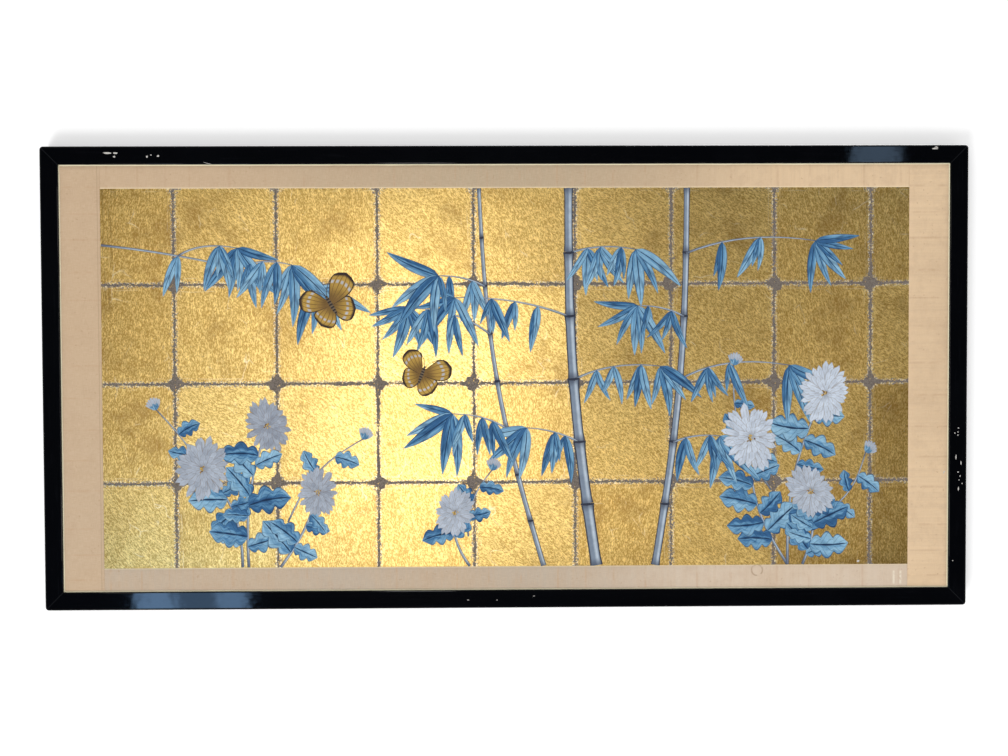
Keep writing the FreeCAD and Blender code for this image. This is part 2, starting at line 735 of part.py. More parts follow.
def build():
    make_sheet()
    sides = [(True, LEFT), (True, RIGHT), (False, BOTTOM), (False, TOP)]
    fixings = {
        (upright, outward): [
            FrameScrew(upright, outward, share)
            for share in (STILE_SCREW_SHARES if upright else RAIL_SCREW_SHARES)
        ]
        for upright, outward in sides
    }
    for upright, outward in sides:
        name = f"stile_{SIDE_NAMES[outward]}" if upright else f"rail_{END_NAMES[outward]}"
        screws_here = fixings[upright, outward]
        frame_member(f"frame_{name}", upright, outward, [h for s in screws_here for h in s.frame_holes()])
        core_holes = [s.core_hole() for s in screws_here]
        if upright:
            core_holes += [hanger_hole(outward, drop) for drop in (FIRST_SCREW, SECOND_SCREW)]
        core_edge(f"core_{name}", upright, outward, core_holes)
    for number in range(1, SIZES["bar_count"] + 1):
        lattice_strip(f"lattice_bar_{number}", False, number)
    for number in range(1, SIZES["post_count"] + 1):
        lattice_strip(f"lattice_post_{number}", True, number)
    for side in (LEFT, RIGHT):
        for end in (BOTTOM, TOP):
            mitre_key(side, end)
            corner_block(side, end)
        hanger_strap(side)
        hanger_ring(side)
        hanger_screws(side)
    every_screw = [s for side in sides for s in fixings[side]]
    node(join("frame_screw_set", [s.screw() for s in every_screw], "Part::Compound"), "frame_screws")
    node(join("plug_set", [s.plug() for s in every_screw], "Part::Compound"), "screw_plugs")
    silk_border()
    gold_leaf()
    sheets()
    doc.recompute()


def check():
    """Stops before anything is written if an object failed or a piece isn't a sound solid."""
    for thing in doc.Objects:
        if "Invalid" in thing.State or "Error" in thing.State:
            raise ValueError(f"{thing.Label} failed: {thing.State}")
    for thing in nodes:
        if thing.Shape.isNull() or not thing.Shape.isValid() or not thing.Shape.Solids:
            raise ValueError(f"{thing.Label} has no sound solid")


def write():
    os.makedirs("parts", exist_ok=True)
    for thing in nodes:
        thing.Shape.exportStep(f"parts/{thing.Label}.step")
        box = thing.Shape.BoundBox
        size = f"{box.XLength:.1f} x {box.YLength:.2f} x {box.ZLength:.1f}"
        print(f"{thing.Label}: {len(thing.Shape.Solids)} solids, {size}, {thing.Shape.Volume:.1f} mm3")


build()
check()
write()
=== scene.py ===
"""The looks of a framed gold-leaf screen panel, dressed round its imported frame. Metres; -Y is the front."""
import functools
import itertools
import math
import random

import bmesh
import bpy
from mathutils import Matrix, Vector, noise


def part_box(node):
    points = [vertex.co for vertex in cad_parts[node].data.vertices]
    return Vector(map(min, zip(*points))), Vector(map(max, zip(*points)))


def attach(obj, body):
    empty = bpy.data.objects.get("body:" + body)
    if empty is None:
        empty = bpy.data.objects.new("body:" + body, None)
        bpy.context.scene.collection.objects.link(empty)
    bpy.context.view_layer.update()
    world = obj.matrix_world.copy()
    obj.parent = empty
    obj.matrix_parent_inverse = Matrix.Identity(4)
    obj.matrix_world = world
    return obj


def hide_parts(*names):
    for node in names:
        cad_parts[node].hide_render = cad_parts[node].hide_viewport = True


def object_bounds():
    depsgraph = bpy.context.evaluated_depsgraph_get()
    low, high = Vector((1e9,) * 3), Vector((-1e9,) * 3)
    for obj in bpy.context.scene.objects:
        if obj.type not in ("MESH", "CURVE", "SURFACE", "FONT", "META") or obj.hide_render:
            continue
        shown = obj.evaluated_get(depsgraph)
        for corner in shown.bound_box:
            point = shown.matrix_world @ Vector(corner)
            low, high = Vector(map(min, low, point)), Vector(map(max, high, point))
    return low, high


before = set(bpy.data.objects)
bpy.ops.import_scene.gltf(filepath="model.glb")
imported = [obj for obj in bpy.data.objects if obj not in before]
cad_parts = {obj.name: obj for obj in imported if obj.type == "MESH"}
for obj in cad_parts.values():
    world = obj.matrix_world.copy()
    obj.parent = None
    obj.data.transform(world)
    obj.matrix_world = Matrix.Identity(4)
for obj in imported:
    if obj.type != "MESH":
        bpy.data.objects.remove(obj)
cad_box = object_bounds()


# Camera: stands where the photograph was taken from, close to square on to the panel.
# Seams, chips and stains named by their pixel are carried through it onto the surface that holds them.
photo_width, photo_height = 1008, 756
lens = bpy.data.cameras.new("camera")
lens.lens = 50
lens.sensor_width = 36
camera = bpy.data.objects.new("camera", lens)
camera.location = (-0.0299, -1.872, 0.0569)
camera.rotation_euler = [math.radians(angle) for angle in (88.228, 0.213, -0.816)]
bpy.context.scene.collection.objects.link(camera)
bpy.context.scene.camera = camera
bpy.context.view_layer.update()


def under_pixel(px, py, depth):
    """Where the line of sight through a pixel meets the upright plane at y = depth."""
    across = (px - photo_width / 2) / photo_width * lens.sensor_width / lens.lens
    up = (photo_height / 2 - py) / photo_width * lens.sensor_width / lens.lens
    sight = camera.matrix_world.to_3x3() @ Vector((across, up, -1))
    return camera.location + sight * ((depth - camera.location.y) / sight.y)


# Lattice core: rails, stiles, level bars and upright posts of straight-grained cedar, half-lapped and glued,
# with a triangular block glued into each corner. Planed, left bare, and papered over on both faces.
cedar_pale = (211, 172, 128)
cedar_dark = (168, 120, 78)
half_right = (0, math.pi / 4, 0)


def at_corners(kind):
    return [f"{kind}_{end}_{side}" for end in ("top", "bottom") for side in ("left", "right")]


def tint(colour):
    """A colour as the eye reads it, 0 to 255, turned into the shader's linear light."""
    parts = [c / 255 for c in colour]
    return tuple(c / 12.92 if c <= 0.04045 else ((c + 0.055) / 1.055) ** 2.4 for c in parts) + (1.0,)


def tree_of(*values):
    """The node tree that the first output among the values belongs to."""
    return next(value.id_data for value in values if isinstance(value, bpy.types.NodeSocket))


def join_up(value, socket):
    """Links a node's output to the socket, or sets the socket to a plain value."""
    if isinstance(value, bpy.types.NodeSocket):
        socket.id_data.links.new(value, socket)
    else:
        socket.default_value = value


def feed(shader, **values):
    """Joins values up to the shader's sockets, whose names are written with _ for a space."""
    for label, value in values.items():
        join_up(value, shader.inputs[label.replace("_", " ")])


def place_node(tree, kind, inputs=(), **settings):
    made = tree.nodes.new("ShaderNode" + kind)
    for name, value in settings.items():
        setattr(made, name, value)
    for name, value in dict(inputs).items():
        join_up(value, made.inputs[name])
    return made


def worked(operation, *values):
    """One step of arithmetic on numbers and outputs."""
    made = place_node(tree_of(*values), "Math", operation=operation)
    for value, socket in zip(values, made.inputs):
        join_up(value, socket)
    return made.outputs[0]


times, plus, minus, greater, lesser, size_of, fraction = (
    functools.partial(worked, operation)
    for operation in ("MULTIPLY", "ADD", "SUBTRACT", "MAXIMUM", "MINIMUM", "ABSOLUTE", "FRACT"))


def fade(value, start, end):
    """0 below start and 1 above end, with a soft step between; start may be the higher."""
    return place_node(tree_of(value), "MapRange", {"Value": value, "From Min": start, "From Max": end},
                      interpolation_type="SMOOTHSTEP").outputs["Result"]


def layer_over(share, under, over, how="MIX"):
    """One colour laid over another, by a share from 0 to 1."""
    made = place_node(tree_of(share, under, over), "Mix", data_type="RGBA", blend_type=how)
    for value, socket in zip((share, under, over), (made.inputs[0], made.inputs[6], made.inputs[7])):
        join_up(value, socket)
    return made.outputs[2]


def drawn_out(place, scale, turn=(0, 0, 0)):
    """The same coordinates, turned and then stretched, so that a grain runs one way."""
    turned = place_node(tree_of(place), "Mapping", {"Vector": place, "Rotation": turn}).outputs[0]
    return place_node(tree_of(place), "Mapping", {"Vector": turned, "Scale": scale}).outputs[0]


def mottle(place, per_metre, detail=2.0, rough=0.5):
    inputs = {"Vector": place, "Scale": per_metre, "Detail": detail, "Roughness": rough}
    return place_node(tree_of(place), "TexNoise", inputs).outputs["Fac"]


def shader_group(name, inputs, outputs):
    """An empty group with named sockets, and the sockets that its nodes read from and put out to."""
    group = bpy.data.node_groups.new(name, "ShaderNodeTree")
    for label, value in inputs.items():
        kind = "Float" if isinstance(value, float) else "Vector" if len(value) == 3 else "Color"
        made = group.interface.new_socket(name=label, in_out="INPUT", socket_type="NodeSocket" + kind)
        made.default_value = value
    for label in outputs:
        kind = "Color" if label == "Color" else "Float"
        group.interface.new_socket(name=label, in_out="OUTPUT", socket_type="NodeSocket" + kind)
    return group, group.nodes.new("NodeGroupInput").outputs, group.nodes.new("NodeGroupOutput").inputs


def effect(group, **inputs):
    """The group placed beside its inputs, with its own values; gives the group's outputs."""
    made = tree_of(*inputs.values()).nodes.new("ShaderNodeGroup")
    made.node_tree = group
    for name, value in inputs.items():
        join_up(value, made.inputs[name])
    return made.outputs


def finish_named(name, **plain):
    """A new material, its shader with the plain values set, and the place on the surface as coordinates."""
    made = bpy.data.materials.new(name)
    made.use_nodes = True
    shader = made.node_tree.nodes["Principled BSDF"]
    feed(shader, **plain)
    return made, shader, place_node(made.node_tree, "TexCoord").outputs["Object"]


def raised_by(height, distance):
    return place_node(tree_of(height), "Bump", {"Height": height, "Distance": distance}).outputs[0]


def dress(names, material):
    for name in names:
        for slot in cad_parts[name].material_slots:
            slot.link = "OBJECT"
            slot.material = material


plank_grain, grain_in, grain_out = shader_group(
    "plank_grain", {"Place": (0, 0, 0), "Pale": (1, 1, 1, 1), "Dark": (0, 0, 0, 1), "Rings": 90.0},
    ("Color", "Height"))
ring_line = fade(fraction(times(mottle(grain_in["Place"], 6.0, 2.0), grain_in["Rings"])), 0.25, 1.0)
pores = fade(mottle(grain_in["Place"], 420.0, 3.0), 0.45, 0.7)
figured = layer_over(ring_line, grain_in["Pale"], grain_in["Dark"])
join_up(layer_over(times(pores, 0.3), figured, grain_in["Dark"]), grain_out["Color"])
join_up(minus(ring_line, pores), grain_out["Height"])


def planed_wood(name, pale, dark, stretch, turn=(0, 0, 0)):
    made, shader, here = finish_named(name, Roughness=0.62)
    grain = effect(plank_grain, Place=drawn_out(here, stretch, turn), Pale=tint(pale), Dark=tint(dark))
    feed(shader, Base_Color=grain["Color"], Normal=raised_by(grain["Height"], 0.0002))
    return made


dress(["core_rail_top", "core_rail_bottom"] + [f"lattice_bar_{k}" for k in range(1, 4)],
      planed_wood("cedar_level", cedar_pale, cedar_dark, (0.05, 1, 1)))
dress(["core_stile_left", "core_stile_right"] + [f"lattice_post_{k}" for k in range(1, 7)],
      planed_wood("cedar_upright", cedar_pale, cedar_dark, (1, 1, 0.05)))
dress(at_corners("corner_block"),
      planed_wood("cedar_blocks", cedar_pale, cedar_dark, (0.1, 1, 1), half_right))


# Base and lining papers: long-fibred handmade paper, pasted in layers over both faces of the lattice.
# The cream lining is the top layer in front, and shows as a narrow lip between the silk and the frame.
base_white = (231, 224, 205)
base_fibre = (196, 182, 152)
lining_cream = (253, 247, 232)
lining_fibre = (226, 210, 180)


def vector_step(operation, one, two):
    """One step of arithmetic on coordinates; gives the node's outputs."""
    return place_node(tree_of(one, two), "VectorMath", {0: one, 1: two}, operation=operation).outputs


def strayed(place, pushed_by, per_metre, reach):
    """Coordinates pushed about by a noise, so that the lines drawn on them wander."""
    push = place_node(tree_of(place), "TexNoise", {"Vector": pushed_by, "Scale": per_metre}).outputs["Color"]
    push = vector_step("MULTIPLY", push, (reach, reach, reach))["Vector"]
    return vector_step("ADD", place, push)["Vector"]


def from_cell_edge(place, per_metre):
    return place_node(tree_of(place), "TexVoronoi", {"Vector": place, "Scale": per_metre},
                      feature="DISTANCE_TO_EDGE").outputs["Distance"]


paper_fibres, fibre_in, fibre_out = shader_group(
    "paper_fibres", {"Place": (0, 0, 0), "Sheet": (1, 1, 1, 1), "Fibre": (0, 0, 0, 1), "Amount": 0.5},
    ("Color", "Height"))
bent_place = strayed(fibre_in["Place"], fibre_in["Place"], 30.0, 0.02)
hair_line = fade(from_cell_edge(drawn_out(bent_place, (1, 1, 4), (0, 0.6, 0)), 70.0), 0.035, 0.0)
pulp = fade(mottle(fibre_in["Place"], 55.0, 5.0, 0.65), 0.3, 0.75)
fibre_share = times(greater(hair_line, pulp), fibre_in["Amount"])
join_up(layer_over(fibre_share, fibre_in["Sheet"], fibre_in["Fibre"]), fibre_out["Color"])
join_up(plus(hair_line, pulp), fibre_out["Height"])


def pasted_paper(name, sheet, fibre, amount):
    made, shader, here = finish_named(name, Roughness=0.9, Specular_IOR_Level=0.2)
    fibres = effect(paper_fibres, Place=here, Sheet=tint(sheet), Fibre=tint(fibre), Amount=amount)
    feed(shader, Base_Color=fibres["Color"], Normal=raised_by(fibres["Height"], 0.00008))
    return made


dress(["front_base_paper", "back_base_paper"], pasted_paper("base_paper", base_white, base_fibre, 0.4))
dress(["front_lining_paper"], pasted_paper("lining_paper", lining_cream, lining_fibre, 0.3))


# Back cover: one face of brown-grey paper made up of pasted sheets with lapped seams, printed all over with a
# small diamond in shell powder. Pasted over the back of the lattice, so the frame stands 6 mm proud round it.
cover_brown = (150, 134, 116)
cover_fibre = (118, 104, 90)
seam_brown = (104, 90, 76)
print_pale = (178, 164, 142)
sheet_wide, sheet_high, lap = 0.39, 0.28, 0.004
diamond_wide, diamond_high = 0.034, 0.046


def axes_of(place):
    return place_node(tree_of(place), "SeparateXYZ", {"Vector": place}).outputs


def off_middle(value, length):
    """How far a point is from the middle of its repeat, from 0 to half."""
    return size_of(minus(fraction(worked("DIVIDE", value, length)), 0.5))


def line_at(value, middle, edge, core):
    """1 where the value lies within core of the middle, and 0 where it is further off than edge."""
    return fade(size_of(minus(value, middle)), edge, core)


def glaze(under, share, strength, colour):
    """A thin wash of a colour over another, as strong as strength where the share is 1."""
    return layer_over(times(share, strength), under, tint(colour))


cover, shader, here = finish_named("back_cover", Roughness=0.82, Specular_IOR_Level=0.25)
where = axes_of(here)
fibres = effect(paper_fibres, Place=here, Sheet=tint(cover_brown), Fibre=tint(cover_fibre), Amount=0.55)
rim = plus(off_middle(where["X"], diamond_wide), off_middle(where["Z"], diamond_high))
trellis = line_at(rim, 0.5, 0.035, 0.02)
heart = fade(rim, 0.17, 0.14)
printed = times(greater(trellis, heart), fade(mottle(here, 900.0, 2.0), 0.3, 0.55))
patterned = glaze(fibres["Color"], printed, 0.7, print_pale)
seam_x = fade(worked("PINGPONG", where["X"], sheet_wide / 2), lap, lap * 0.8)
seam_z = fade(worked("PINGPONG", where["Z"], sheet_high / 2), lap, lap * 0.8)
seam = greater(seam_x, seam_z)
feed(shader, Base_Color=glaze(patterned, seam, 0.3, seam_brown),
     Normal=raised_by(plus(times(seam, 2.0), fibres["Height"]), 0.0001))
dress(["back_cover_paper"], cover)


# Painting sheet: the stout paper that carries the gold, brushed all over with a grey-brown clay ground.
# It is pasted over the lining, and shows only where the squares of leaf don't meet.
ground_grey = (130, 121, 113)
ground_dark = (100, 91, 84)

painted_ground, shader, here = finish_named("painting_ground", Roughness=0.85, Specular_IOR_Level=0.25)
clay = fade(mottle(here, 700.0, 3.0, 0.6), 0.35, 0.65)
feed(shader, Base_Color=layer_over(clay, tint(ground_dark), tint(ground_grey)),
     Normal=raised_by(clay, 0.0001))
dress(["painting_sheet"], painted_ground)


# Gold leaf: squares of beaten leaf in nine columns and four rows, laid on size and burnished down by hand.
# The torn edges don't quite meet, crumbs lie in the seams, and the leaf keeps the crepe and creases of
# its laying.
# Painted light and shade on the crepe: a lit gold for its ridges and a deep gold for its hollows; the deep
# gold also shows where paint is rubbed through.
gold_crepe_lit = (255, 226, 148)
gold_deep = (192, 152, 80)
gold_brown = (150, 112, 58)
# Painted highlights: pale cream along creases and folds, and on lifted specks at the torn edges.
gold_crease_highlight = (255, 246, 212)
gold_edge_glint = (255, 243, 212)
seam_columns = (175, 277, 378, 474, 575, 671, 774, 870)
seam_rows = (284, 383, 482)
seam_gap = 0.0027
corner_gap = 0.0048
corner_reach = 0.021
tear_step = 0.0015
tear_wander, tear_bite = 0.0013, 0.0025
least_pull = 0.00012
clear_of_corner = 0.0006
leaf_half = 0.065
leaf_askew = 0.008
crepe_height = 0.000034
crumbs_to_seam, crumbs_at_crossing, crumbs_in_upright = 22, 3, 14
crumb_stray, crossing_stray = 0.0008, 0.007

sheet_low, sheet_high_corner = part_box("painting_sheet")
leaf_low, leaf_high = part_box("gold_leaf_squares")
leaf_front, leaf_back = leaf_low.y, leaf_high.y
edges_x = [sheet_low.x] + [under_pixel(px, 380, leaf_front).x for px in seam_columns] + [sheet_high_corner.x]
edges_z = [sheet_high_corner.z] + [under_pixel(504, py, leaf_front).z for py in seam_rows] + [sheet_low.z]
last_column, last_row = len(seam_columns), len(seam_rows)


def square_to(run):
    return Vector((-run.y, run.x))


def tear(spot, hand):
    """How far a torn edge strays there: a slow wander, and a ragged bite."""
    slow = noise.noise(Vector((spot.x * 45, spot.y * 45, hand * 7.3)))
    ragged = noise.noise(Vector((spot.x * 400, spot.y * 400, hand * 3.1 + 40)))
    return tear_wander * slow + tear_bite * ragged


def torn_outline(low, high, torn, hand):
    """The outline of one square from its lowest corner round; torn says which of its sides are free edges."""
    corners = [Vector(low), Vector((high[0], low[1])), Vector(high), Vector((low[0], high[1]))]
    runs = []
    for side in range(4):
        start, end = corners[side], corners[(side + 1) % 4]
        inward = square_to(end - start).normalized()
        length = (end - start).length
        count = max(4, round(length / tear_step))
        at_start = torn[side] and torn[side - 1]
        at_end = torn[side] and torn[(side + 1) % 4]
        run = []
        for k in range(count + 1):
            spot = start.lerp(end, k / count)
            pull = 0.0
            if torn[side]:
                gap = seam_gap / 2 + tear(spot, hand + side * 11)
                near = k / count * length
                for meets, away in ((at_start, near), (at_end, length - near)):
                    if meets:
                        rounding = max(0.0, 1 - away / corner_reach) ** 2
                        gap += corner_gap * rounding * (1 + 0.5 * math.sin(hand * 2.7 + side))
                pull = max(gap, least_pull)
            run.append((spot, inward * pull))
        runs.append(run)
    outline = []
    for side in range(4):
        run, before, after = runs[side], runs[side - 1][-1][1], runs[(side + 1) % 4][0][1]
        start, end = run[0][0], run[-1][0]
        outline.append(start + run[0][1] + before)
        for spot, pull in run[1:-1]:
            if ((spot - start).length > before.length + clear_of_corner
                    and (spot - end).length > after.length + clear_of_corner):
                outline.append(spot + pull)
    return outline


def leaf_span(low, high, cut_low, cut_high):
    """A leaf's middle and half length along one axis. One that the sheet's edge cuts off counts as whole."""
    if cut_low:
        return high - leaf_half, leaf_half
    if cut_high:
        return low + leaf_half, leaf_half
    return (low + high) / 2, (high - low) / 2


def flat_piece(mesh, outline, front, back, written=()):
    """A closed sheet between two depths. written pairs layers with what to write at a spot."""
    faces = []
    for y in (front, back):
        ring = [mesh.verts.new((spot.x, y, spot.y)) for spot in outline]
        for vert, spot in zip(ring, outline):
            for layer, value_at in written:
                vert[layer] = value_at(spot)
        faces.append(mesh.faces.new(ring if y == front else list(reversed(ring))))
    first, second = list(faces[0].verts), list(reversed(faces[1].verts))
    for k in range(len(first)):
        nxt = (k + 1) % len(first)
        mesh.faces.new((first[nxt], first[k], second[k], second[nxt]))
    for face in faces:
        face.normal_update()
    bmesh.ops.triangulate(mesh, faces=faces)


def object_from(mesh, name, material, slot, *nodes):
    """The finished mesh as a piece of the panel, with its finish; it stands for the named CAD nodes."""
    bmesh.ops.recalc_face_normals(mesh, faces=mesh.faces)
    data = bpy.data.meshes.new(name)
    mesh.to_mesh(data)
    mesh.free()
    data.materials.append(material)
    made = bpy.data.objects.new(name, data)
    bpy.context.scene.collection.objects.link(made)
    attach(made, "panel")
    if nodes:
        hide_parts(*nodes)
    return made


def written_on(here, layer):
    """What the mesh carries in that layer, for the material that here belongs to."""
    return place_node(tree_of(here), "Attribute", attribute_name=layer).outputs["Vector"]


leaf_crepe, crepe_in, crepe_out = shader_group(
    "leaf_crepe", {"Place": (0, 0, 0), "Turn": 0.56}, ("Height", "Wrinkle", "Cloud"))
turned = place_node(leaf_crepe, "VectorRotate", {"Vector": crepe_in["Place"], "Angle": crepe_in["Turn"]},
                    rotation_type="Y_AXIS").outputs[0]
steep = drawn_out(turned, (1.6, 1, 0.8))
ridges = fade(mottle(drawn_out(turned, (1.8, 1, 0.5)), 260.0, 2.0, 0.6), 0.52, 0.72)
fine_crepe = fade(mottle(steep, 470.0, 2.0, 0.6), 0.28, 0.72)
coarse_crepe = mottle(steep, 170.0, 2.0, 0.5)
fold_line = fade(from_cell_edge(strayed(steep, crepe_in["Place"], 18.0, 0.06), 16.0), 0.016, 0.0)
fold_here = fade(mottle(crepe_in["Place"], 34.0, 2.0), 0.54, 0.68)
join_up(times(fold_line, fold_here), crepe_out["Wrinkle"])
join_up(plus(fine_crepe, plus(times(coarse_crepe, 0.6), times(ridges, 0.55))), crepe_out["Height"])
join_up(mottle(crepe_in["Place"], 14.0, 3.0, 0.55), crepe_out["Cloud"])

gold, shader, here = finish_named("gold_leaf")
where = axes_of(here)
mark = axes_of(written_on(here, "leaf_mark"))
crepe = effect(leaf_crepe, Place=here, Turn=plus(0.45, times(mark["Z"], 0.6)))
off_side, off_end = [times(minus(1.0, size_of(mark[axis])), leaf_half) for axis in ("X", "Y")]
from_edge = lesser(off_side, off_end)
roots = [worked("SQRT", greater(off, 0.0)) for off in (off_side, off_end)]
pointed = times(minus(worked("POWER", plus(roots[0], roots[1]), 2.0), 0.017), 0.3)
near_tear = lesser(from_edge, pointed)
crumbly = mottle(here, 540.0, 2.0, 0.6)
bare = fade(plus(crumbly, times(near_tear, -41.0)), 0.43, 0.47)
pinholes = fade(mottle(here, 620.0, 2.0, 0.5), 0.735, 0.75)
bare = greater(bare, pinholes)
# Painted highlight: specks near the torn edges, where the leaf lifts, are coloured a pale cream and made less
# metallic.
lifted_edge_glint = times(fade(near_tear, 0.0052, 0.0022), fade(mottle(here, 480.0, 2.0), 0.52, 0.58))
creased_at = plus(0.0035, times(crepe["Cloud"], 0.008))
edge_crease = times(line_at(from_edge, creased_at, 0.0008, 0.0), fade(mottle(here, 30.0, 1.0), 0.52, 0.64))
crease_with_highlight = greater(times(edge_crease, 0.7), crepe["Wrinkle"])
# Painted highlight and shade: the crepe's ridges are coloured lighter and its hollows darker, from the same
# height as its bump, with each leaf's own tone added.
crepe_light_and_shade = fade(plus(crepe["Height"], times(mark["Z"], 0.08)), 0.3, 1.6)
browned = fade(mottle(here, 19.0, 4.0, 0.6), 0.5, 0.72)
streaks = fade(mottle(drawn_out(here, (1, 1, 0.06)), 360.0, 2.0), 0.5, 0.62)
streaks = times(times(streaks, fade(where["X"], -0.502, -0.520)), fade(where["Z"], 0.06, 0.12))
colour = layer_over(crepe_light_and_shade, tint(gold_deep), tint(gold_crepe_lit))
colour = glaze(colour, browned, 0.44, gold_brown)
colour = glaze(colour, streaks, 0.5, gold_brown)
# Painted highlight: creases and folds are coloured a pale cream; they are also raised in the bump.
colour = glaze(colour, crease_with_highlight, 0.5, gold_crease_highlight)
colour = glaze(colour, lifted_edge_glint, 0.9, gold_edge_glint)
dull = plus(plus(0.277, times(crepe["Cloud"], 0.02)), times(mark["Z"], 0.002))
slope = vector_step("DOT_PRODUCT", here, written_on(here, "leaf_slope"))["Value"]
relief = plus(crepe["Height"], times(crease_with_highlight, 0.8))
relief = plus(relief, times(slope, 1 / crepe_height))
relief = plus(relief, times(mottle(here, 21.0, 1.0), 12.0))
feed(shader, Base_Color=layer_over(bare, colour, tint(ground_grey)),
     Metallic=minus(1.0, greater(bare, times(lifted_edge_glint, 0.7))), Roughness=greater(dull, times(bare, 0.85)),
     Normal=raised_by(relief, crepe_height))

laying = random.Random(31)
for row in range(last_row + 1):
    mesh = bmesh.new()
    marks = mesh.verts.layers.float_vector.new("leaf_mark")
    slopes = mesh.verts.layers.float_vector.new("leaf_slope")
    for column in range(last_column + 1):
        low = (edges_x[column], edges_z[row + 1])
        high = (edges_x[column + 1], edges_z[row])
        torn = (row < last_row, column < last_column, row > 0, column > 0)
        tone = laying.uniform(-1, 1)
        slope = (laying.gauss(0, leaf_askew), 0.0, laying.gauss(0, leaf_askew))
        middle_x, half_x = leaf_span(low[0], high[0], column == 0, column == last_column)
        middle_z, half_z = leaf_span(low[1], high[1], row == last_row, row == 0)
        flat_piece(mesh, torn_outline(low, high, torn, row * 9 + column), leaf_front, leaf_back, [
            (marks, lambda spot: ((spot.x - middle_x) / half_x, (spot.y - middle_z) / half_z, tone)),
            (slopes, lambda spot: slope)])
    for column in range(1, last_column + 1):
        for number in range(crumbs_to_seam):
            seat = Vector((edges_x[column] + laying.gauss(0, crumb_stray),
                           laying.uniform(edges_z[row + 1], edges_z[row])))
            if number < crumbs_at_crossing and row < last_row:
                seat = Vector((edges_x[column] + laying.gauss(0, crossing_stray),
                               edges_z[row + 1] + laying.gauss(0, crossing_stray)))
            elif number < crumbs_in_upright and row < last_row:
                seat = Vector((laying.uniform(edges_x[column - 1], edges_x[column]),
                               edges_z[row + 1] + laying.gauss(0, crumb_stray)))
            if not sheet_low.z + 0.004 < seat.y < sheet_high_corner.z - 0.004:
                continue
            size, turn = laying.uniform(0.0003, 0.0010), laying.uniform(0, 6)
            crumb = [seat + size * laying.uniform(0.5, 1.2) * Vector((math.cos(turn + k), math.sin(turn + k)))
                     for k in range(6)]
            flat_piece(mesh, crumb, leaf_front + 0.00004, leaf_back, [(marks, lambda spot: (0.0, 0.0, 0.3))])
    object_from(mesh, f"gold_leaf_row_{row + 1}", gold, "gold_leaf", "gold_leaf_squares")


# Painted design: ground mineral colours in glue, laid over the gold in thin flat touches that stand a little
# proud. A stand of bamboo crosses the middle right, with chrysanthemums below and to the left, and two
# butterflies.
leaf_blue = (84, 136, 178)
leaf_light = (146, 190, 218)
leaf_deep = (50, 92, 136)
ink_blue = (26, 50, 82)
pooled_grey = (120, 124, 134)
paint_back = leaf_front + 0.00006
thinnest_touch = 0.00012
touch_crown = 0.000002


def ahead_at(angle):
    """A run of one metre at an angle in degrees."""
    return Vector((math.cos(math.radians(angle)), math.sin(math.radians(angle))))


def swept(start, angle, length, bend, steps):
    """Points from start along an angle in degrees, bending sideways by bend times the length at the end."""
    ahead = ahead_at(angle)
    side = square_to(ahead)
    return [start + ahead * length * k / steps + side * bend * length * (k / steps) ** 2
            for k in range(steps + 1)]


def painted_mesh():
    mesh = bmesh.new()
    return mesh, mesh.verts.layers.float_vector.new("brush")


def touch(painted, line, half_width, lift, tone):
    """One touch of the brush: a closed, thin ribbon along a line, with its half width given along the way."""
    mesh, brush = painted
    rings = []
    last = len(line) - 1
    front = leaf_front - lift
    for k, spot in enumerate(line):
        ahead = line[min(k + 1, last)] - line[max(k - 1, 0)]
        across = square_to(ahead).normalized() * max(half_width(k / last), thinnest_touch)
        ring = []
        for side, y in ((-1, front), (0, front - touch_crown), (1, front), (1, paint_back), (-1, paint_back)):
            at = spot + across * side
            vert = mesh.verts.new((at.x, y, at.y))
            vert[brush] = (k / last, side, tone)
            ring.append(vert)
        rings.append(ring)
    for one, two in zip(rings, rings[1:]):
        for k in range(5):
            mesh.faces.new((one[k], one[(k + 1) % 5], two[(k + 1) % 5], two[k]))
    mesh.faces.new(list(reversed(rings[0])))
    mesh.faces.new(rings[-1])


mineral_colour, mineral_in, mineral_out = shader_group(
    "mineral_colour", {"Place": (0, 0, 0), "Flat": (1, 1, 1, 1), "Coarse": 0.25, "Worn": 0.5},
    ("Color", "Height", "Bare"))
grains = mottle(mineral_in["Place"], 1500.0, 2.0, 0.7)
pooled = fade(mottle(mineral_in["Place"], 95.0, 3.0, 0.6), 0.3, 0.7)
shaded = layer_over(times(grains, mineral_in["Coarse"]), mineral_in["Flat"], (1, 1, 1, 1), "SOFT_LIGHT")
shaded = layer_over(times(pooled, 0.25), shaded, tint(pooled_grey), "MULTIPLY")
rubbed = fade(mottle(mineral_in["Place"], 480.0, 4.0, 0.7), minus(0.9, times(mineral_in["Worn"], 0.25)), 0.95)
join_up(layer_over(rubbed, shaded, tint(gold_deep)), mineral_out["Color"])
join_up(grains, mineral_out["Height"])
join_up(rubbed, mineral_out["Bare"])


def paint_finish(name, drawn, coarse, worn):
    """A matt colour, which drawn(along, across, tone) gives for each place on a touch of the brush."""
    made, shader, here = finish_named(name, Specular_IOR_Level=0.3)
    brush = axes_of(written_on(here, "brush"))
    flat = drawn(brush["X"], brush["Y"], brush["Z"])
    mineral = effect(mineral_colour, Place=here, Flat=flat, Coarse=coarse, Worn=worn)
    height = plus(mineral["Height"], times(effect(leaf_crepe, Place=here)["Height"], 1.2))
    feed(shader, Base_Color=mineral["Color"], Metallic=mineral["Bare"],
         Roughness=minus(0.88, times(mineral["Bare"], 0.45)), Normal=raised_by(height, 0.00012))
    return made


def painted_piece(painted, name, paint, drawn, coarse, worn, slot="mineral_pigment"):
    object_from(painted[0], "painted_" + name, paint_finish(paint, drawn, coarse, worn), slot)


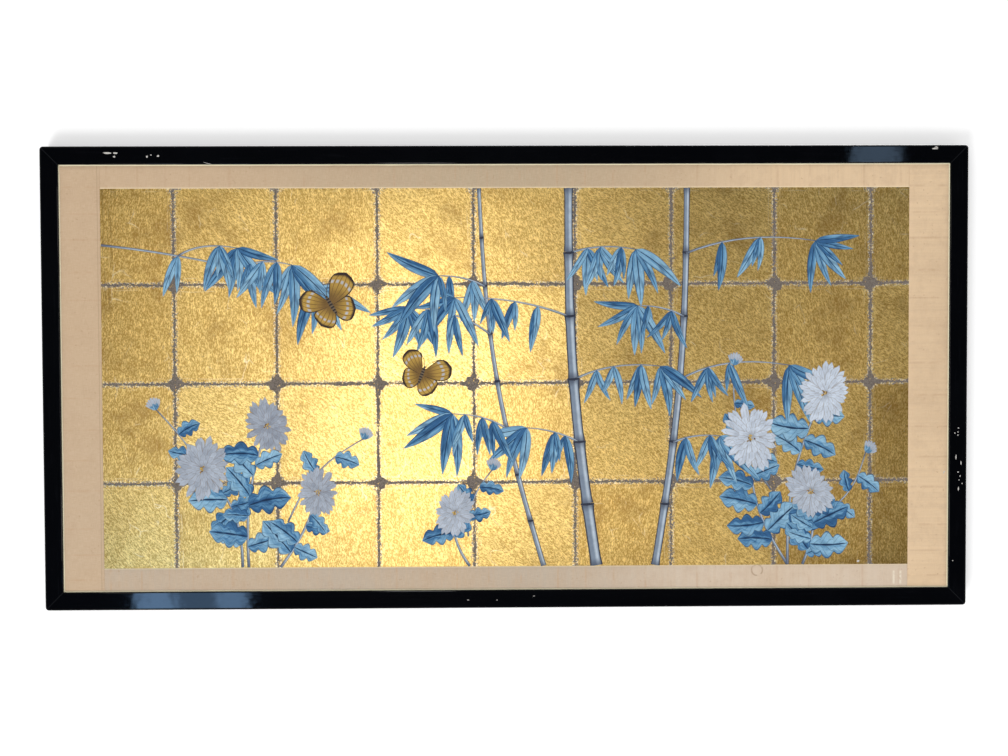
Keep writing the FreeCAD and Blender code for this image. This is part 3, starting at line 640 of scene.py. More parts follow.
def veined_leaf(veins, vein_slant):
    """Blue that is lighter on one half and towards the tip, with an inked midrib, side veins and rim."""
    def drawn(along, across, tone):
        side = size_of(across)
        streaked = {"X": times(along, 1.7), "Y": times(across, 2.6), "Z": times(tone, 9.0)}
        streak = mottle(place_node(tree_of(along), "CombineXYZ", streaked).outputs[0], 1.0, 3.0, 0.6)
        light = plus(times(across, 0.32), times(along, 0.35))
        light = plus(light, times(tone, 0.4))
        light = plus(light, times(minus(fade(streak, 0.32, 0.68), 0.5), 0.7))
        colour = layer_over(fade(light, -0.2, 0.85), tint(leaf_blue), tint(leaf_light))
        colour = layer_over(fade(light, 0.15, -0.5), colour, tint(leaf_deep))
        vein = line_at(fraction(minus(times(along, veins), times(side, vein_slant))), 0.5, 0.1, 0.02)
        rib, rim = fade(side, 0.12, 0.04), fade(side, 0.84, 0.95)
        ink = greater(times(vein, 0.45), greater(rib, times(rim, 0.75)))
        return layer_over(ink, colour, tint(ink_blue))
    return drawn


# Bamboo: three jointed culms in blue-grey, each joint ringed in ink, with side twigs that end in hanging
# fans of narrow blue leaves. One more spray comes in from the upper left edge.
culm_grey = (126, 140, 158)
culm_light = (186, 200, 214)
culm_end = (70, 78, 96)
culm_ink = (52, 56, 70)
culm_bow, joint_gap = 0.012, 0.0022
lift_step = 0.000004
sheet_foot, sheet_head = -0.2494, 0.2494
culm_lines = ((0.118, 0.082, 0.0074, 0.098, 1), (0.196, 0.238, 0.0052, 0.086, -1),
              (0.048, -0.036, 0.0034, 0.070, 1.6))
twig_lines = (
    (0, 1, 150, 0.070, 0.25), (0, 2, 28, 0.110, -0.35), (0, 3, 158, 0.150, 0.22), (0, 4, 20, 0.085, -0.3),
    (1, 1, 24, 0.060, -0.3), (1, 2, 30, 0.135, -0.42), (1, 3, 150, 0.060, 0.3), (1, 4, 22, 0.165, -0.3),
    (2, 2, 145, 0.070, 0.35), (2, 4, 140, 0.105, 0.4), (2, 5, 150, 0.060, 0.3))
tip_fans = ((-64, -38, -12, 10, 33), (-50, -26, -4, 20, 47, 70), (-70, -34, -15, 22, 52), (-40, -14, 8, 36))
side_fans = ((-16, 8), (-26, -4, 15), (-10, 15), (-20, 2, 19, 30))

culms = painted_mesh()
joints = []
for number, (foot_x, head_x, half, pitch, bowed) in enumerate(culm_lines):
    foot, head = Vector((foot_x, sheet_foot)), Vector((head_x, sheet_head))
    rise = head - foot
    bow = square_to(rise).normalized() * culm_bow * bowed
    count = math.ceil(rise.length / pitch)
    for k in range(count):
        start, end = k / count, (k + 1) / count - joint_gap / rise.length * (k < count - 1)
        shares = [start + (end - start) * step / 8 for step in range(9)]
        line = [foot.lerp(head, share) + bow * math.sin(math.pi * share) for share in shares]
        taper = 1 - 0.3 * k / count
        touch(culms, line, lambda s: half * taper * (1 + 0.16 * (abs(s - 0.5) * 2) ** 8),
              0.00003 + 0.00002 * number, number / 2 - 0.3)
        joints.append((number, line[-1]))
        if k < count - 1:
            across = square_to(rise).normalized() * half * taper * 1.22
            ringed = line[-1] + rise.normalized() * 0.0011
            touch(culms, [ringed - across, ringed - rise.normalized() * 0.0004, ringed + across],
                  lambda s: 0.0017 - 0.0005 * abs(2 * s - 1), 0.00009, 1.0)

twigs = []
for number, at, angle, length, bend in twig_lines:
    own = [spot for owner, spot in joints if owner == number]
    twigs.append(swept(own[min(at, len(own) - 1)], angle, length, bend, 10))
spray = swept(Vector((-0.5318, 0.176)), -6, 0.285, -0.10, 14)
twigs += [spray, swept(spray[5], 34, 0.070, -0.5, 8), swept(spray[9], 30, 0.062, -0.5, 8)]
for k, line in enumerate(twigs):
    touch(culms, line, lambda s: 0.0016 * (1 - 0.6 * s), 0.00008 + 0.000003 * k, 0.2)


def culm_drawn(along, across, tone):
    lit = fade(size_of(plus(across, 0.35)), 0.5, 0.0)
    colour = layer_over(lit, tint(culm_grey), tint(culm_light))
    colour = glaze(colour, fade(size_of(minus(along, 0.5)), 0.36, 0.5), 0.75, culm_end)
    ink = greater(fade(size_of(across), 0.68, 0.86), fade(tone, 0.85, 0.95))
    return layer_over(ink, colour, tint(culm_ink))


painted_piece(culms, "bamboo_culms", "culm_paint", culm_drawn, 0.4, 0.6)

bamboo_leaves = painted_mesh()
leaf_numbers = itertools.count(1)
drawing = random.Random(12)


def on_sheet(line, margin):
    return all(sheet_low.x + margin < spot.x < sheet_high_corner.x - margin
               and sheet_low.z + margin < spot.y < sheet_high_corner.z - margin for spot in line)


def bamboo_leaf(start, angle, length):
    """A narrow leaf, widest a third of the way along, that ends in a long point."""
    lift = 0.00014 + lift_step * (next(leaf_numbers) % 40)
    line = swept(start, angle, length, drawing.uniform(-0.2, 0.2), 10)
    if on_sheet(line[1:], 0.004):
        half = length * drawing.uniform(0.105, 0.135)
        touch(bamboo_leaves, line, lambda s: half * 2.1 * s ** 0.55 * (1 - s) ** 0.95 + 0.0003,
              lift, drawing.uniform(-1, 1))


for line in twigs:
    tip, before = line[-1], line[-3]
    heading = math.degrees(math.atan2(tip.y - before.y, tip.x - before.x))
    hang = -90 + 0.35 * (heading + 90 if heading < 90 else heading - 270)
    for turn in drawing.choice(tip_fans):
        bamboo_leaf(tip, hang + turn + drawing.uniform(-8, 8), drawing.uniform(0.048, 0.084))
    for share in (0.3, 0.52, 0.76):
        spot = line[round((share + drawing.uniform(-0.05, 0.05)) * (len(line) - 1))]
        if (tip - line[0]).length > 0.055 and drawing.random() < 0.8:
            for turn in drawing.choice(side_fans):
                bamboo_leaf(spot, -92 + turn + drawing.uniform(-10, 10), drawing.uniform(0.036, 0.064))
painted_piece(bamboo_leaves, "bamboo_leaves", "bamboo_leaf_paint", veined_leaf(1.0, 0.2), 0.35, 0.5)


# Chrysanthemums: full heads of narrow petals in shell white, some greyed, round ochre hearts, on thin stems
# with lobed blue leaves. Each petal is its own touch, the outer rings laid first.
petal_grey = (148, 157, 172)
petal_white = (208, 219, 234)
petal_deep = (122, 126, 136)
petal_line = (132, 114, 94)
heart_light = (214, 178, 96)
ochre_dark = (98, 72, 48)
flower_lift = 0.00031
bud_half = 0.0026
heads = ((0.322, -0.080, 0.047, 18, 0.9, 0.372), (0.420, -0.022, 0.042, -12, 1.0, 0.372),
         (0.402, -0.152, 0.038, 35, 0.55, 0.392), (-0.402, -0.118, 0.044, -20, 0.35, -0.350),
         (-0.316, -0.062, 0.038, 25, 0.15, -0.342), (-0.250, -0.150, 0.034, 5, 0.25, -0.300),
         (-0.070, -0.178, 0.034, -15, 0.5, -0.050))
petal_rings = ((1.0, 23, 0.105), (0.86, 19, 0.1), (0.68, 15, 0.095), (0.48, 12, 0.085), (0.3, 8, 0.075))
buds = ((0.300, 0.016, 70, 0.350, -0.150), (0.476, -0.100, 40, 0.410, -0.190),
        (-0.462, -0.040, 110, -0.384, -0.170), (-0.190, -0.080, 60, -0.290, -0.190),
        (-0.020, -0.122, 70, -0.052, -0.210))

stems, leaves, petals, hearts = [painted_mesh() for kind in range(4)]
leaf_numbers = itertools.count(1)


def lobed_leaf(start, angle, length):
    """A broad leaf cut into rounded lobes on both sides."""
    lift = 0.00014 + lift_step * (next(leaf_numbers) % 40)
    line = swept(start, angle, length, drawing.uniform(-0.25, 0.25), 28)
    half = length * drawing.uniform(0.29, 0.36)

    def width(s):
        body = math.sin(math.pi * min(1, s ** 0.85)) ** 0.6 if 0 < s < 1 else 0
        return half * body * (0.46 + 0.54 * abs(math.sin(math.pi * (2.9 * s + 0.2))) ** 0.8) + 0.0006

    if on_sheet(line, half * 0.9):
        touch(leaves, line, width, lift, drawing.uniform(-1, 1))


def stem(foot, head, thick, order):
    bow = square_to(head - foot) * drawing.uniform(0.05, 0.12) * drawing.choice((-1, 1))
    line = [foot.lerp(head, k / 14) + bow * math.sin(math.pi * k / 14) for k in range(15)]
    touch(stems, line, lambda s: thick * (1 - 0.35 * s), 0.00005 + lift_step * order, 0.1)
    return line


def blunt(s, over):
    """1 along a touch, and rounded off to 0 over the last of it."""
    return math.sqrt(max(0.0, 1 - max(0.0, (s - (1 - over)) / over) ** 2))


for order, (x, z, size, turn, pale, root_x) in enumerate(heads):
    middle = Vector((x, z))
    heading = math.degrees(math.atan2(z - sheet_foot, x - root_x))
    line = stem(Vector((root_x, sheet_foot)), middle, 0.0020, order)
    for k in range(2, 13):
        if drawing.random() >= 0.2 and (line[k] - middle).length > size * 0.75:
            side = 1 if k % 2 else -1
            lobed_leaf(line[k], heading + side * drawing.uniform(40, 105), drawing.uniform(0.032, 0.056))
    base = flower_lift + 0.00022 * (order % 2)
    laid = itertools.count()
    lean = ahead_at(turn)
    for reach, number, broad in petal_rings:
        for k in range(number):
            angle = 360 * (k + drawing.uniform(-0.22, 0.22)) / number + reach * 90
            length = size * reach * drawing.uniform(0.9, 1.06)
            line = swept(Vector((0, 0)), angle, length, drawing.uniform(-0.14, 0.14), 7)
            line = [middle + p - lean * p.dot(lean) * 0.22 + lean * size * 0.06 * (1 - reach) for p in line]
            half = size * broad * drawing.uniform(0.85, 1.1)
            touch(petals, line, lambda s: half * (0.35 + 0.65 * s ** 0.6) * blunt(s, 0.2),
                  base + 0.0000025 * next(laid), pale + drawing.uniform(-0.15, 0.15))
    for k in range(14):
        spot = middle + Vector((drawing.gauss(0, 1), drawing.gauss(0, 1))) * size * 0.045
        touch(hearts, swept(spot, drawing.uniform(0, 360), size * 0.06, 0.1, 4),
              lambda s: size * 0.022 * math.sin(math.pi * (0.15 + 0.7 * s)), base + 0.0002 + 0.000003 * k,
              drawing.uniform(-1, 1))

for order, (x, z, angle, root_x, root_z) in enumerate(buds):
    tip = Vector((x, z))
    line = stem(Vector((root_x, root_z)), tip, 0.0013, order + 8)
    for k in (4, 7, 10):
        lobed_leaf(line[k], angle + (70 if k % 2 else -70), drawing.uniform(0.026, 0.036))
    for k in range(7):
        off = abs(k - 3)
        touch(petals, swept(tip, angle + (k - 3) * 14, 0.017 - 0.0008 * off, 0.1, 6),
              lambda s: bud_half * math.sin(math.pi * (0.1 + 0.8 * s)),
              flower_lift + lift_step * (7 - off), 0.5)
    for turn in (-38, 38, 0):
        touch(leaves, swept(tip, angle + turn, 0.009, 0.2, 6),
              lambda s: bud_half * math.sin(math.pi * (0.12 + 0.86 * s)),
              0.00036 + 0.00001 * (turn == 0), 0.2)


def petal_drawn(along, across, tone):
    side = size_of(across)
    colour = layer_over(tone, tint(petal_grey), tint(petal_white))
    colour = glaze(colour, fade(along, 0.75, 0.1), 0.55, petal_deep)
    line = greater(fade(side, 0.78, 0.94), times(fade(side, 0.14, 0.02), 0.4))
    return glaze(colour, line, 0.62, petal_line)


def heart_drawn(along, across, tone):
    return layer_over(fade(tone, -1.0, 1.0), tint(ochre_dark), tint(heart_light))


painted_piece(stems, "flower_stems", "stem_paint", culm_drawn, 0.4, 0.5)
painted_piece(leaves, "flower_leaves", "lobed_leaf_paint", veined_leaf(6.0, 1.6), 0.35, 0.5)
painted_piece(petals, "petals", "petal_paint", petal_drawn, 0.2, 0.45, "shell_white")
painted_piece(hearts, "hearts", "heart_paint", heart_drawn, 0.4, 0.2)


# Butterflies: two, with ochre wings edged in brown and barred in grey, and slim dark bodies.
# Each wing is one broad touch, the hind wings under the fore wings.
ochre = (188, 150, 72)
wing_root = (120, 92, 52)
wing_spot = (184, 186, 190)
wing_edge = (56, 46, 44)
body_dark = (44, 40, 42)
body_brown = (110, 96, 78)
flights = ((-0.232, 0.098, 28, 0.046), (-0.112, 0.006, -24, 0.040))
wing_lines = ((-52, 0.72, 0.34, 0.25), (-128, 0.66, 0.32, -0.25), (28, 1.0, 0.33, 0.12),
              (150, 0.9, 0.3, -0.12))


def wing_width(s, half):
    full = 0.12 + math.sin(math.pi * min(1.0, s ** 1.35 * 0.98)) ** 0.62 * (0.6 + 0.5 * s)
    return half * full * blunt(s, 0.14) + 0.0003


wings, bodies = painted_mesh(), painted_mesh()
for x, z, turn, size in flights:
    seat = Vector((x, z))
    for order, (angle, length, half, bend) in enumerate(wing_lines):
        touch(wings, swept(seat, turn + angle, size * length, bend, 14),
              lambda s: wing_width(s, size * half), 0.00030 + 0.00002 * order, order / 3)
    ahead = square_to(ahead_at(turn)) * size
    touch(bodies, swept(seat + ahead * 0.26, turn - 90, size * 0.62, 0.05, 8),
          lambda s: size * 0.055 * math.sin(math.pi * (0.1 + 0.85 * s)) ** 0.5, 0.00042, 0.0)
    for side in (-1, 1):
        touch(bodies, swept(seat + ahead * 0.22, turn + 90 + side * 22, size * 0.5, side * 0.3, 8),
              lambda s: 0.00035 + 0.0004 * s ** 6, 0.00045 + 0.00001 * side, 0.5)


def wing_drawn(along, across, tone):
    colour = layer_over(fade(along, 0.15, 0.7), tint(wing_root), tint(ochre))
    barred = fraction(times(across, 2.6))
    colour = glaze(colour, line_at(barred, 0.5, 0.12, 0.03), 0.8, ochre_dark)
    bent = plus(along, times(times(across, across), 0.14))
    spots = times(line_at(bent, 0.70, 0.07, 0.02), line_at(barred, 0.5, 0.14, 0.3))
    colour = layer_over(spots, colour, tint(wing_spot))
    edge = greater(fade(bent, 0.84, 0.94), fade(size_of(across), 0.86, 0.95))
    return layer_over(edge, colour, tint(wing_edge))


def body_drawn(along, across, tone):
    return layer_over(fade(fraction(times(along, 7.0)), 0.2, 0.7), tint(body_dark), tint(body_brown))


painted_piece(wings, "butterfly_wings", "wing_paint", wing_drawn, 0.4, 0.5)
painted_piece(bodies, "butterfly_bodies", "body_paint", body_drawn, 0.3, 0.2)


# Silk border: four strips of undyed plain-weave silk backed with paper and pasted round the gold, the side
# strips over the full height and the other two between them. Flat, with faint weft bars, a lap line and
# old stains.
silk_pale = (231, 201, 163)
# Painted shade: the darker silk colours for the left, the lower left, the middle of the top strip and the
# foot.
silk_left_shade = (205, 177, 145)
silk_low_left_shade = (200, 175, 146)
silk_top_middle_shade = (188, 168, 140)
silk_foot_left_shade = (187, 173, 156)
silk_foot_pale = (215, 197, 177)
silk_shade = (200, 171, 138)
silk_blotch = (186, 156, 126)
silk_bar = (192, 156, 122)
silk_fox = (168, 128, 94)
silk_thread = (246, 226, 200)
silk_lap = (160, 132, 104)
silk_cut = (248, 230, 192)
ring_brown = (150, 118, 88)
drip_pale = (238, 226, 206)
lap_from_gold = 0.0036
silk_rim = 0.0005
rim_drop, lap_rise = 0.00022, 0.00005
silk_boxes = {name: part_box("silk_strip_" + name) for name in ("left", "right", "top", "bottom")}
foot_front = silk_boxes["bottom"][0].y
stain_ring = under_pixel(757, 570, foot_front)
stain_drips = under_pixel(897, 577, foot_front)

silk, shader, here = finish_named("border_silk", Roughness=0.72, Sheen_Weight=0.25, Sheen_Roughness=0.45,
                                  Specular_IOR_Level=0.3)
place = written_on(here, "strip_place")
parts, where = axes_of(place), axes_of(here)
level_strip = minus(1.0, parts["Z"])
bars_place = drawn_out(place, (1.0, 0.02, 0.0))
bars = fade(mottle(bars_place, 130.0, 4.0, 0.75), 0.35, 0.7)
weft, warp = [mottle(drawn_out(place, run), 1400.0, 2.0, 0.6) for run in ((1.0, 0.08, 0.0), (0.08, 1.0, 0.0))]
weave = plus(weft, warp)
barred = fraction(plus(times(parts["X"], 24.0), times(mottle(bars_place, 6.0, 1.0), 2.2)))
bar_line = times(line_at(barred, 0.5, 0.05, 0.01), fade(mottle(place, 50.0, 2.0), 0.38, 0.6))
aged = fade(mottle(here, 5.0, 3.0, 0.55), 0.35, 0.7)
blotches = fade(mottle(here, 58.0, 4.0, 0.65), 0.42, 0.7)
foxing = fade(mottle(here, 260.0, 1.0, 0.4), 0.735, 0.77)
# Painted shade: the silk darkens toward the left and the lower left and in the middle of the top strip, and
# is greyer along the foot but for its right end.
colour = layer_over(fade(where["X"], -0.1, 0.35), tint(silk_left_shade), tint(silk_pale))
low_left = times(fade(where["Z"], 0.12, -0.2), fade(where["X"], -0.3, -0.5))
colour = layer_over(low_left, colour, tint(silk_low_left_shade))
top_strip = times(fade(where["Z"], 0.24, 0.25), level_strip)
top_middle = times(fade(size_of(plus(where["X"], 0.02)), 0.42, 0.1), top_strip)
colour = layer_over(top_middle, colour, tint(silk_top_middle_shade))
foot_colour = layer_over(fade(where["X"], 0.02, 0.32), tint(silk_foot_left_shade), tint(silk_foot_pale))
foot_strip = times(fade(where["Z"], -0.24, -0.25), level_strip)
colour = layer_over(times(foot_strip, 0.95), colour, foot_colour)
for share, strength, wash in ((bars, 0.3, silk_shade), (aged, 0.4, silk_shade), (blotches, 0.22, silk_blotch),
                              (bar_line, 0.38, silk_bar), (foxing, 0.3, silk_fox),
                              (fade(weave, 0.8, 1.25), 0.14, silk_thread)):
    colour = glaze(colour, share, strength, wash)
lap_line = times(line_at(parts["Y"], lap_from_gold, 0.0009, 0.0002), parts["Z"])
colour = glaze(colour, times(lap_line, fade(where["X"], 0.1, -0.1)), 0.35, silk_lap)
colour = glaze(colour, times(fade(parts["Y"], 0.0018, 0.001), level_strip), 0.45, silk_cut)
ring_off = vector_step("DISTANCE", here, stain_ring)["Value"]
ring = times(line_at(ring_off, 0.0072, 0.0016, 0.0003), fade(mottle(here, 160.0, 1.0), 0.38, 0.56))
colour = glaze(colour, ring, 0.5, ring_brown)
drip_side = line_at(size_of(minus(where["X"], stain_drips.x)), 0.0045, 0.0019, 0.0007)
drips = times(drip_side, line_at(where["Z"], stain_drips.z, 0.0105, 0.007))
drips = times(drips, fade(mottle(here, 240.0, 2.0), 0.3, 0.5))
feed(shader, Base_Color=glaze(colour, drips, 0.8, drip_pale),
     Normal=raised_by(plus(weave, times(bars, 0.8)), 0.00012))


def across_strip(size, count):
    """Places from one rim of a strip to the other, even but for a narrow cell at each rim."""
    even = [silk_rim + (size - 2 * silk_rim) * k / (count - 2) for k in range(count - 1)]
    return [0.0] + even + [size]


def silk_strip(name, upright, columns, rows):
    """A strip on a fine grid: its face rolls very slightly, and steps up where it laps the paper's edge."""
    low, high = silk_boxes[name]
    mesh = bmesh.new()
    marks = mesh.verts.layers.float_vector.new("strip_place")
    wide, tall = high.x - low.x, high.z - low.z
    inner_x = low.x if low.x > 0 else high.x
    inner_z = low.z if low.z > 0 else high.z
    grids = []
    for front in (True, False):
        grid = []
        for i, across in enumerate(across_strip(wide, columns)):
            line = []
            for j, up in enumerate(across_strip(tall, rows)):
                x, z = low.x + across, low.z + up
                from_gold = abs(x - inner_x) if upright else abs(z - inner_z)
                on_rim = i in (0, columns) or j in (0, rows)
                rise = 0.00007 * noise.noise(Vector((x * 14, 0, z * 14)))
                rise += 0.00004 * noise.noise(Vector((x * 60, 3, z * 60)))
                rise += lap_rise if upright and from_gold > lap_from_gold else 0.0
                y = low.y - rise + (rim_drop if on_rim else 0.0) if front else high.y
                vert = mesh.verts.new((x, y, z))
                vert[marks] = (z if upright else x, from_gold, 1.0 if upright else 0.0)
                line.append(vert)
            grid.append(line)
        grids.append(grid)
        for i in range(columns):
            for j in range(rows):
                mesh.faces.new((grid[i][j], grid[i + 1][j], grid[i + 1][j + 1], grid[i][j + 1]))
    rim = [(i, 0) for i in range(columns)] + [(columns, j) for j in range(rows)]
    rim += [(i, rows) for i in range(columns, 0, -1)] + [(0, j) for j in range(rows, 0, -1)]
    for (i, j), (p, q) in zip(rim, rim[1:] + rim[:1]):
        mesh.faces.new((grids[0][i][j], grids[0][p][q], grids[1][p][q], grids[1][i][j]))
    made = object_from(mesh, f"silk_border_{name}", silk, "silk", f"silk_strip_{name}")
    for face in made.data.polygons:
        face.use_smooth = abs(face.normal.y) > 0.5


for name in ("left", "right"):
    silk_strip(name, True, 12, 90)
for name in ("top", "bottom"):
    silk_strip(name, False, 170, 8)


# Lip: the edge of the cream lining, turned up a little against the frame all round, where the silk stops
# short of it. Its torn width changes along its length.
# Painted highlight: the lip is coloured a brighter cream than the lining it belongs to, so that it stays
# bright in the shade of the frame.
lip_cream_lit = (255, 246, 212)
lip_fibre_lit = (255, 236, 194)
least_lip, lip_tuck = 0.00125, 0.00005

lining_low, lining_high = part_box("front_lining_paper")
lip_front = silk_boxes["left"][0].y + 0.00004
strips = bmesh.new()
for side in range(4):
    upright, outward = side % 2, 1 if side < 2 else -1
    reach = (lining_high.z if upright else lining_high.x) - lip_tuck
    edge = outward * ((lining_high.x if upright else lining_high.z) - lip_tuck)
    count = 75 if upright else 150
    outer, inner = [], []
    for k in range(count + 1):
        along = -reach + 2 * reach * k / count
        width = 0.0014 + 0.0004 * noise.noise(Vector((along * 30, side * 5.0, 2)))
        width += 0.0002 * noise.noise(Vector((along * 260, side * 5.0, 8)))
        for row, across in ((outer, edge), (inner, edge - outward * max(least_lip, width))):
            row.append(Vector((across, along) if upright else (along, across)))
    flat_piece(strips, outer + inner[::-1], lip_front - 0.00001 * upright, lining_low.y + 0.00002)
object_from(strips, "lining_lip", pasted_paper("paper_lip_highlight", lip_cream_lit, lip_fibre_lit, 0.3), "lining_paper")


# Frame: four lengths of wood, mitred, keyed and screwed to the core, under polished black lacquer.
# Screw heads are sunk and covered with plugs in the same lacquer. Each mitre shows as a hairline.
lacquer_black = (2, 3, 6)
lacquer_smudged = (6, 7, 11)
lacquer_worn = (24, 25, 30)
lacquer_joint = (20, 22, 26)
dust_grey = (120, 118, 116)
key_pale = (160, 120, 84)
key_dark = (112, 78, 50)
joint_line = cad_box[1][0] - cad_box[1][2]

handling, handled_in, handled_out = shader_group(
    "handling_marks", {"Place": (0, 0, 0), "Rubbed": (0, 0, 0)}, ("Smudge", "Scratch", "Dust"))
for mark, place, per_metre, detail, rough, start, end in (
        ("Smudge", "Place", 17.0, 4.0, 0.6, 0.45, 0.75), ("Scratch", "Rubbed", 700.0, 2.0, 0.6, 0.62, 0.72),
        ("Dust", "Place", 1100.0, 1.0, 0.5, 0.74, 0.8)):
    join_up(fade(mottle(handled_in[place], per_metre, detail, rough), start, end), handled_out[mark])


def black_lacquer(name, stretch):
    made, shader, here = finish_named(name, Coat_Weight=0.5, Coat_Roughness=0.03, Specular_IOR_Level=0.01)
    marks = effect(handling, Place=here, Rubbed=drawn_out(here, stretch))
    where = axes_of(here)
    joint = line_at(minus(size_of(where["X"]), size_of(where["Z"])), joint_line, 0.0006, 0.0002)
    colour = layer_over(times(marks["Smudge"], 0.4), tint(lacquer_black), tint(lacquer_smudged))
    colour = glaze(colour, marks["Scratch"], 0.2, lacquer_worn)
    colour = glaze(colour, marks["Dust"], 0.08, dust_grey)
    rough = plus(plus(0.26, times(marks["Smudge"], 0.16)), times(marks["Scratch"], 0.1))
    height = plus(mottle(here, 28.0, 2.0), times(joint, -1.2))
    height = plus(height, times(mottle(drawn_out(here, stretch), 520.0, 3.0, 0.6), 0.2))
    feed(shader, Base_Color=layer_over(joint, colour, tint(lacquer_joint)), Roughness=rough,
         Normal=raised_by(height, 0.00012), Coat_Normal=raised_by(height, 0.00012))
    return made


dress(["frame_rail_top", "frame_rail_bottom"], black_lacquer("lacquer_level", (0.03, 1, 1)))
dress(["frame_stile_left", "frame_stile_right"], black_lacquer("lacquer_upright", (1, 1, 0.03)))
dress(["screw_plugs"], black_lacquer("lacquer_plugs", (1, 1, 1)))
dress(at_corners("mitre_key"), planed_wood("key_wood", key_pale, key_dark, (0.1, 1, 1), half_right))


# Chips: places on the frame's face where the lacquer has come away to the pale ground, each a thin ragged
# flake of that ground. Named by their pixels: middle, length, height and turn. Two crumbs of it lie on the
# gold and the silk.
chip_white = (226, 224, 220)
chip_grey = (176, 170, 162)
frame_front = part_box("frame_rail_top")[0].y
chip_proud, crumb_proud, chip_sunk = 0.00005, 0.00018, 0.00006
chips = (
    (107.1, 153.1, 8.4, 1.7, 0), (115.3, 153.1, 6.0, 1.7, 0), (114.1, 156.6, 2.6, 1.8, 0),
    (147, 156.6, 2.0, 2.2, 30), (151, 155, 1.6, 1.2, 0), (158, 156, 2.4, 2.0, 20),
    (935.6, 148.4, 6.4, 2.0, 0), (936.4, 147.4, 3.0, 2.2, 10), (207, 163.2, 11.0, 0.4, -15),
    (958.5, 428, 1.0, 1.8, 80), (955, 433, 1.2, 1.6, 60), (958, 432, 1.0, 1.4, 0),
    (958, 435, 1.2, 1.4, 90), (956, 457, 5.0, 1.1, 88), (961, 463, 4.2, 1.1, 95), (958, 472, 1.4, 1.2, 0),
    (960, 476, 1.6, 1.2, 60), (959, 480, 1.4, 1.0, 0), (962, 483.5, 1.2, 1.4, 0),
    (958.4, 488.5, 4.6, 1.4, 86), (952.7, 560.5, 1.3, 1.2, 0), (468, 600, 2.2, 0.6, 0),
    (497, 600, 1.8, 0.6, 0), (534, 596, 2.0, 0.6, 10))
crumbs = ((858, 561, 3.2, 2.4, 30, leaf_front), (944, 472, 3.4, 1.2, 70, silk_boxes["right"][0].y))

chipped, shader, here = finish_named("chip_ground", Roughness=0.8, Specular_IOR_Level=0.3)
powder = fade(mottle(here, 1600.0, 3.0, 0.6), 0.3, 0.7)
feed(shader, Base_Color=layer_over(powder, tint(chip_grey), tint(chip_white)),
     Normal=raised_by(powder, 0.00006))
chipping = random.Random(5)
flakes = bmesh.new()
metres_per_pixel = (under_pixel(505, 380, frame_front) - under_pixel(504, 380, frame_front)).x
for px, py, length, height, turn, depth in [chip + (frame_front,) for chip in chips] + list(crumbs):
    seat = under_pixel(px, py, depth)
    turn = math.radians(turn)
    outline = []
    for k in range(11):
        angle = 2 * math.pi * k / 11
        ragged = chipping.uniform(0.7, 1.15) * metres_per_pixel / 2
        spot = Vector((math.cos(angle) * length, math.sin(angle) * height)) * ragged
        outline.append(Vector((seat.x + spot.x * math.cos(turn) - spot.y * math.sin(turn),
                               seat.z + spot.x * math.sin(turn) + spot.y * math.cos(turn))))
    proud = chip_proud if depth == frame_front else crumb_proud
    flat_piece(flakes, outline, depth - proud, depth + chip_sunk)
object_from(flakes, "lacquer_chips", chipped, "shell_white")


# Frame screws: plain steel wood screws, driven from the outer edge through the frame into the core.
# They are out of sight under the lacquered plugs.
steel_pale = (196, 196, 196)
steel_dull = (150, 148, 144)

screw_steel, shader, here = finish_named("screw_steel", Metallic=1.0)
marks = effect(handling, Place=here, Rubbed=here)
feed(shader, Base_Color=layer_over(marks["Smudge"], tint(steel_pale), tint(steel_dull)),
     Roughness=plus(0.32, times(marks["Smudge"], 0.2)))
dress(["frame_screws"], screw_steel)


# Hangers: a strap of brass-plated sheet folded round the bar of a wire ring, held by two brass screws to the
# back of the frame's stile at each side. The ring swings on its bar; strap and screws stay with the panel.
brass_pale = (222, 186, 112)
brass_dull = (176, 138, 78)
brass_grime = (96, 74, 46)

hanger_brass, shader, here = finish_named("hanger_brass", Metallic=1.0)
marks = effect(handling, Place=here, Rubbed=drawn_out(here, (1, 1, 0.1)))
colour = layer_over(times(marks["Smudge"], 0.6), tint(brass_pale), tint(brass_dull))
rough = plus(plus(0.28, times(marks["Smudge"], 0.18)), times(marks["Scratch"], 0.12))
feed(shader, Base_Color=glaze(colour, marks["Dust"], 0.5, brass_grime), Roughness=rough,
     Normal=raised_by(mottle(here, 900.0, 2.0), 0.00002))
dress([f"hanger_{kind}_{side}" for kind in ("strap", "ring", "screws") for side in ("left", "right")],
      hanger_brass)


# Room: a plain white wall that the panel hangs on and a pale floor 1.2 m below it.
# Both are see-through from behind and below, so that the panel's back can be looked at.
wall_white = (255, 255, 255)
floor_white = (240, 240, 238)
wall_face, floor_level, ceiling, room_side = 0.0012, -1.5, 6, 9
wall_foot = [(-room_side, wall_face, floor_level), (room_side, wall_face, floor_level)]
wall_head = [(room_side, wall_face, ceiling), (-room_side, wall_face, ceiling)]
floor_edge = [(-room_side, -room_side, floor_level), (room_side, -room_side, floor_level)]


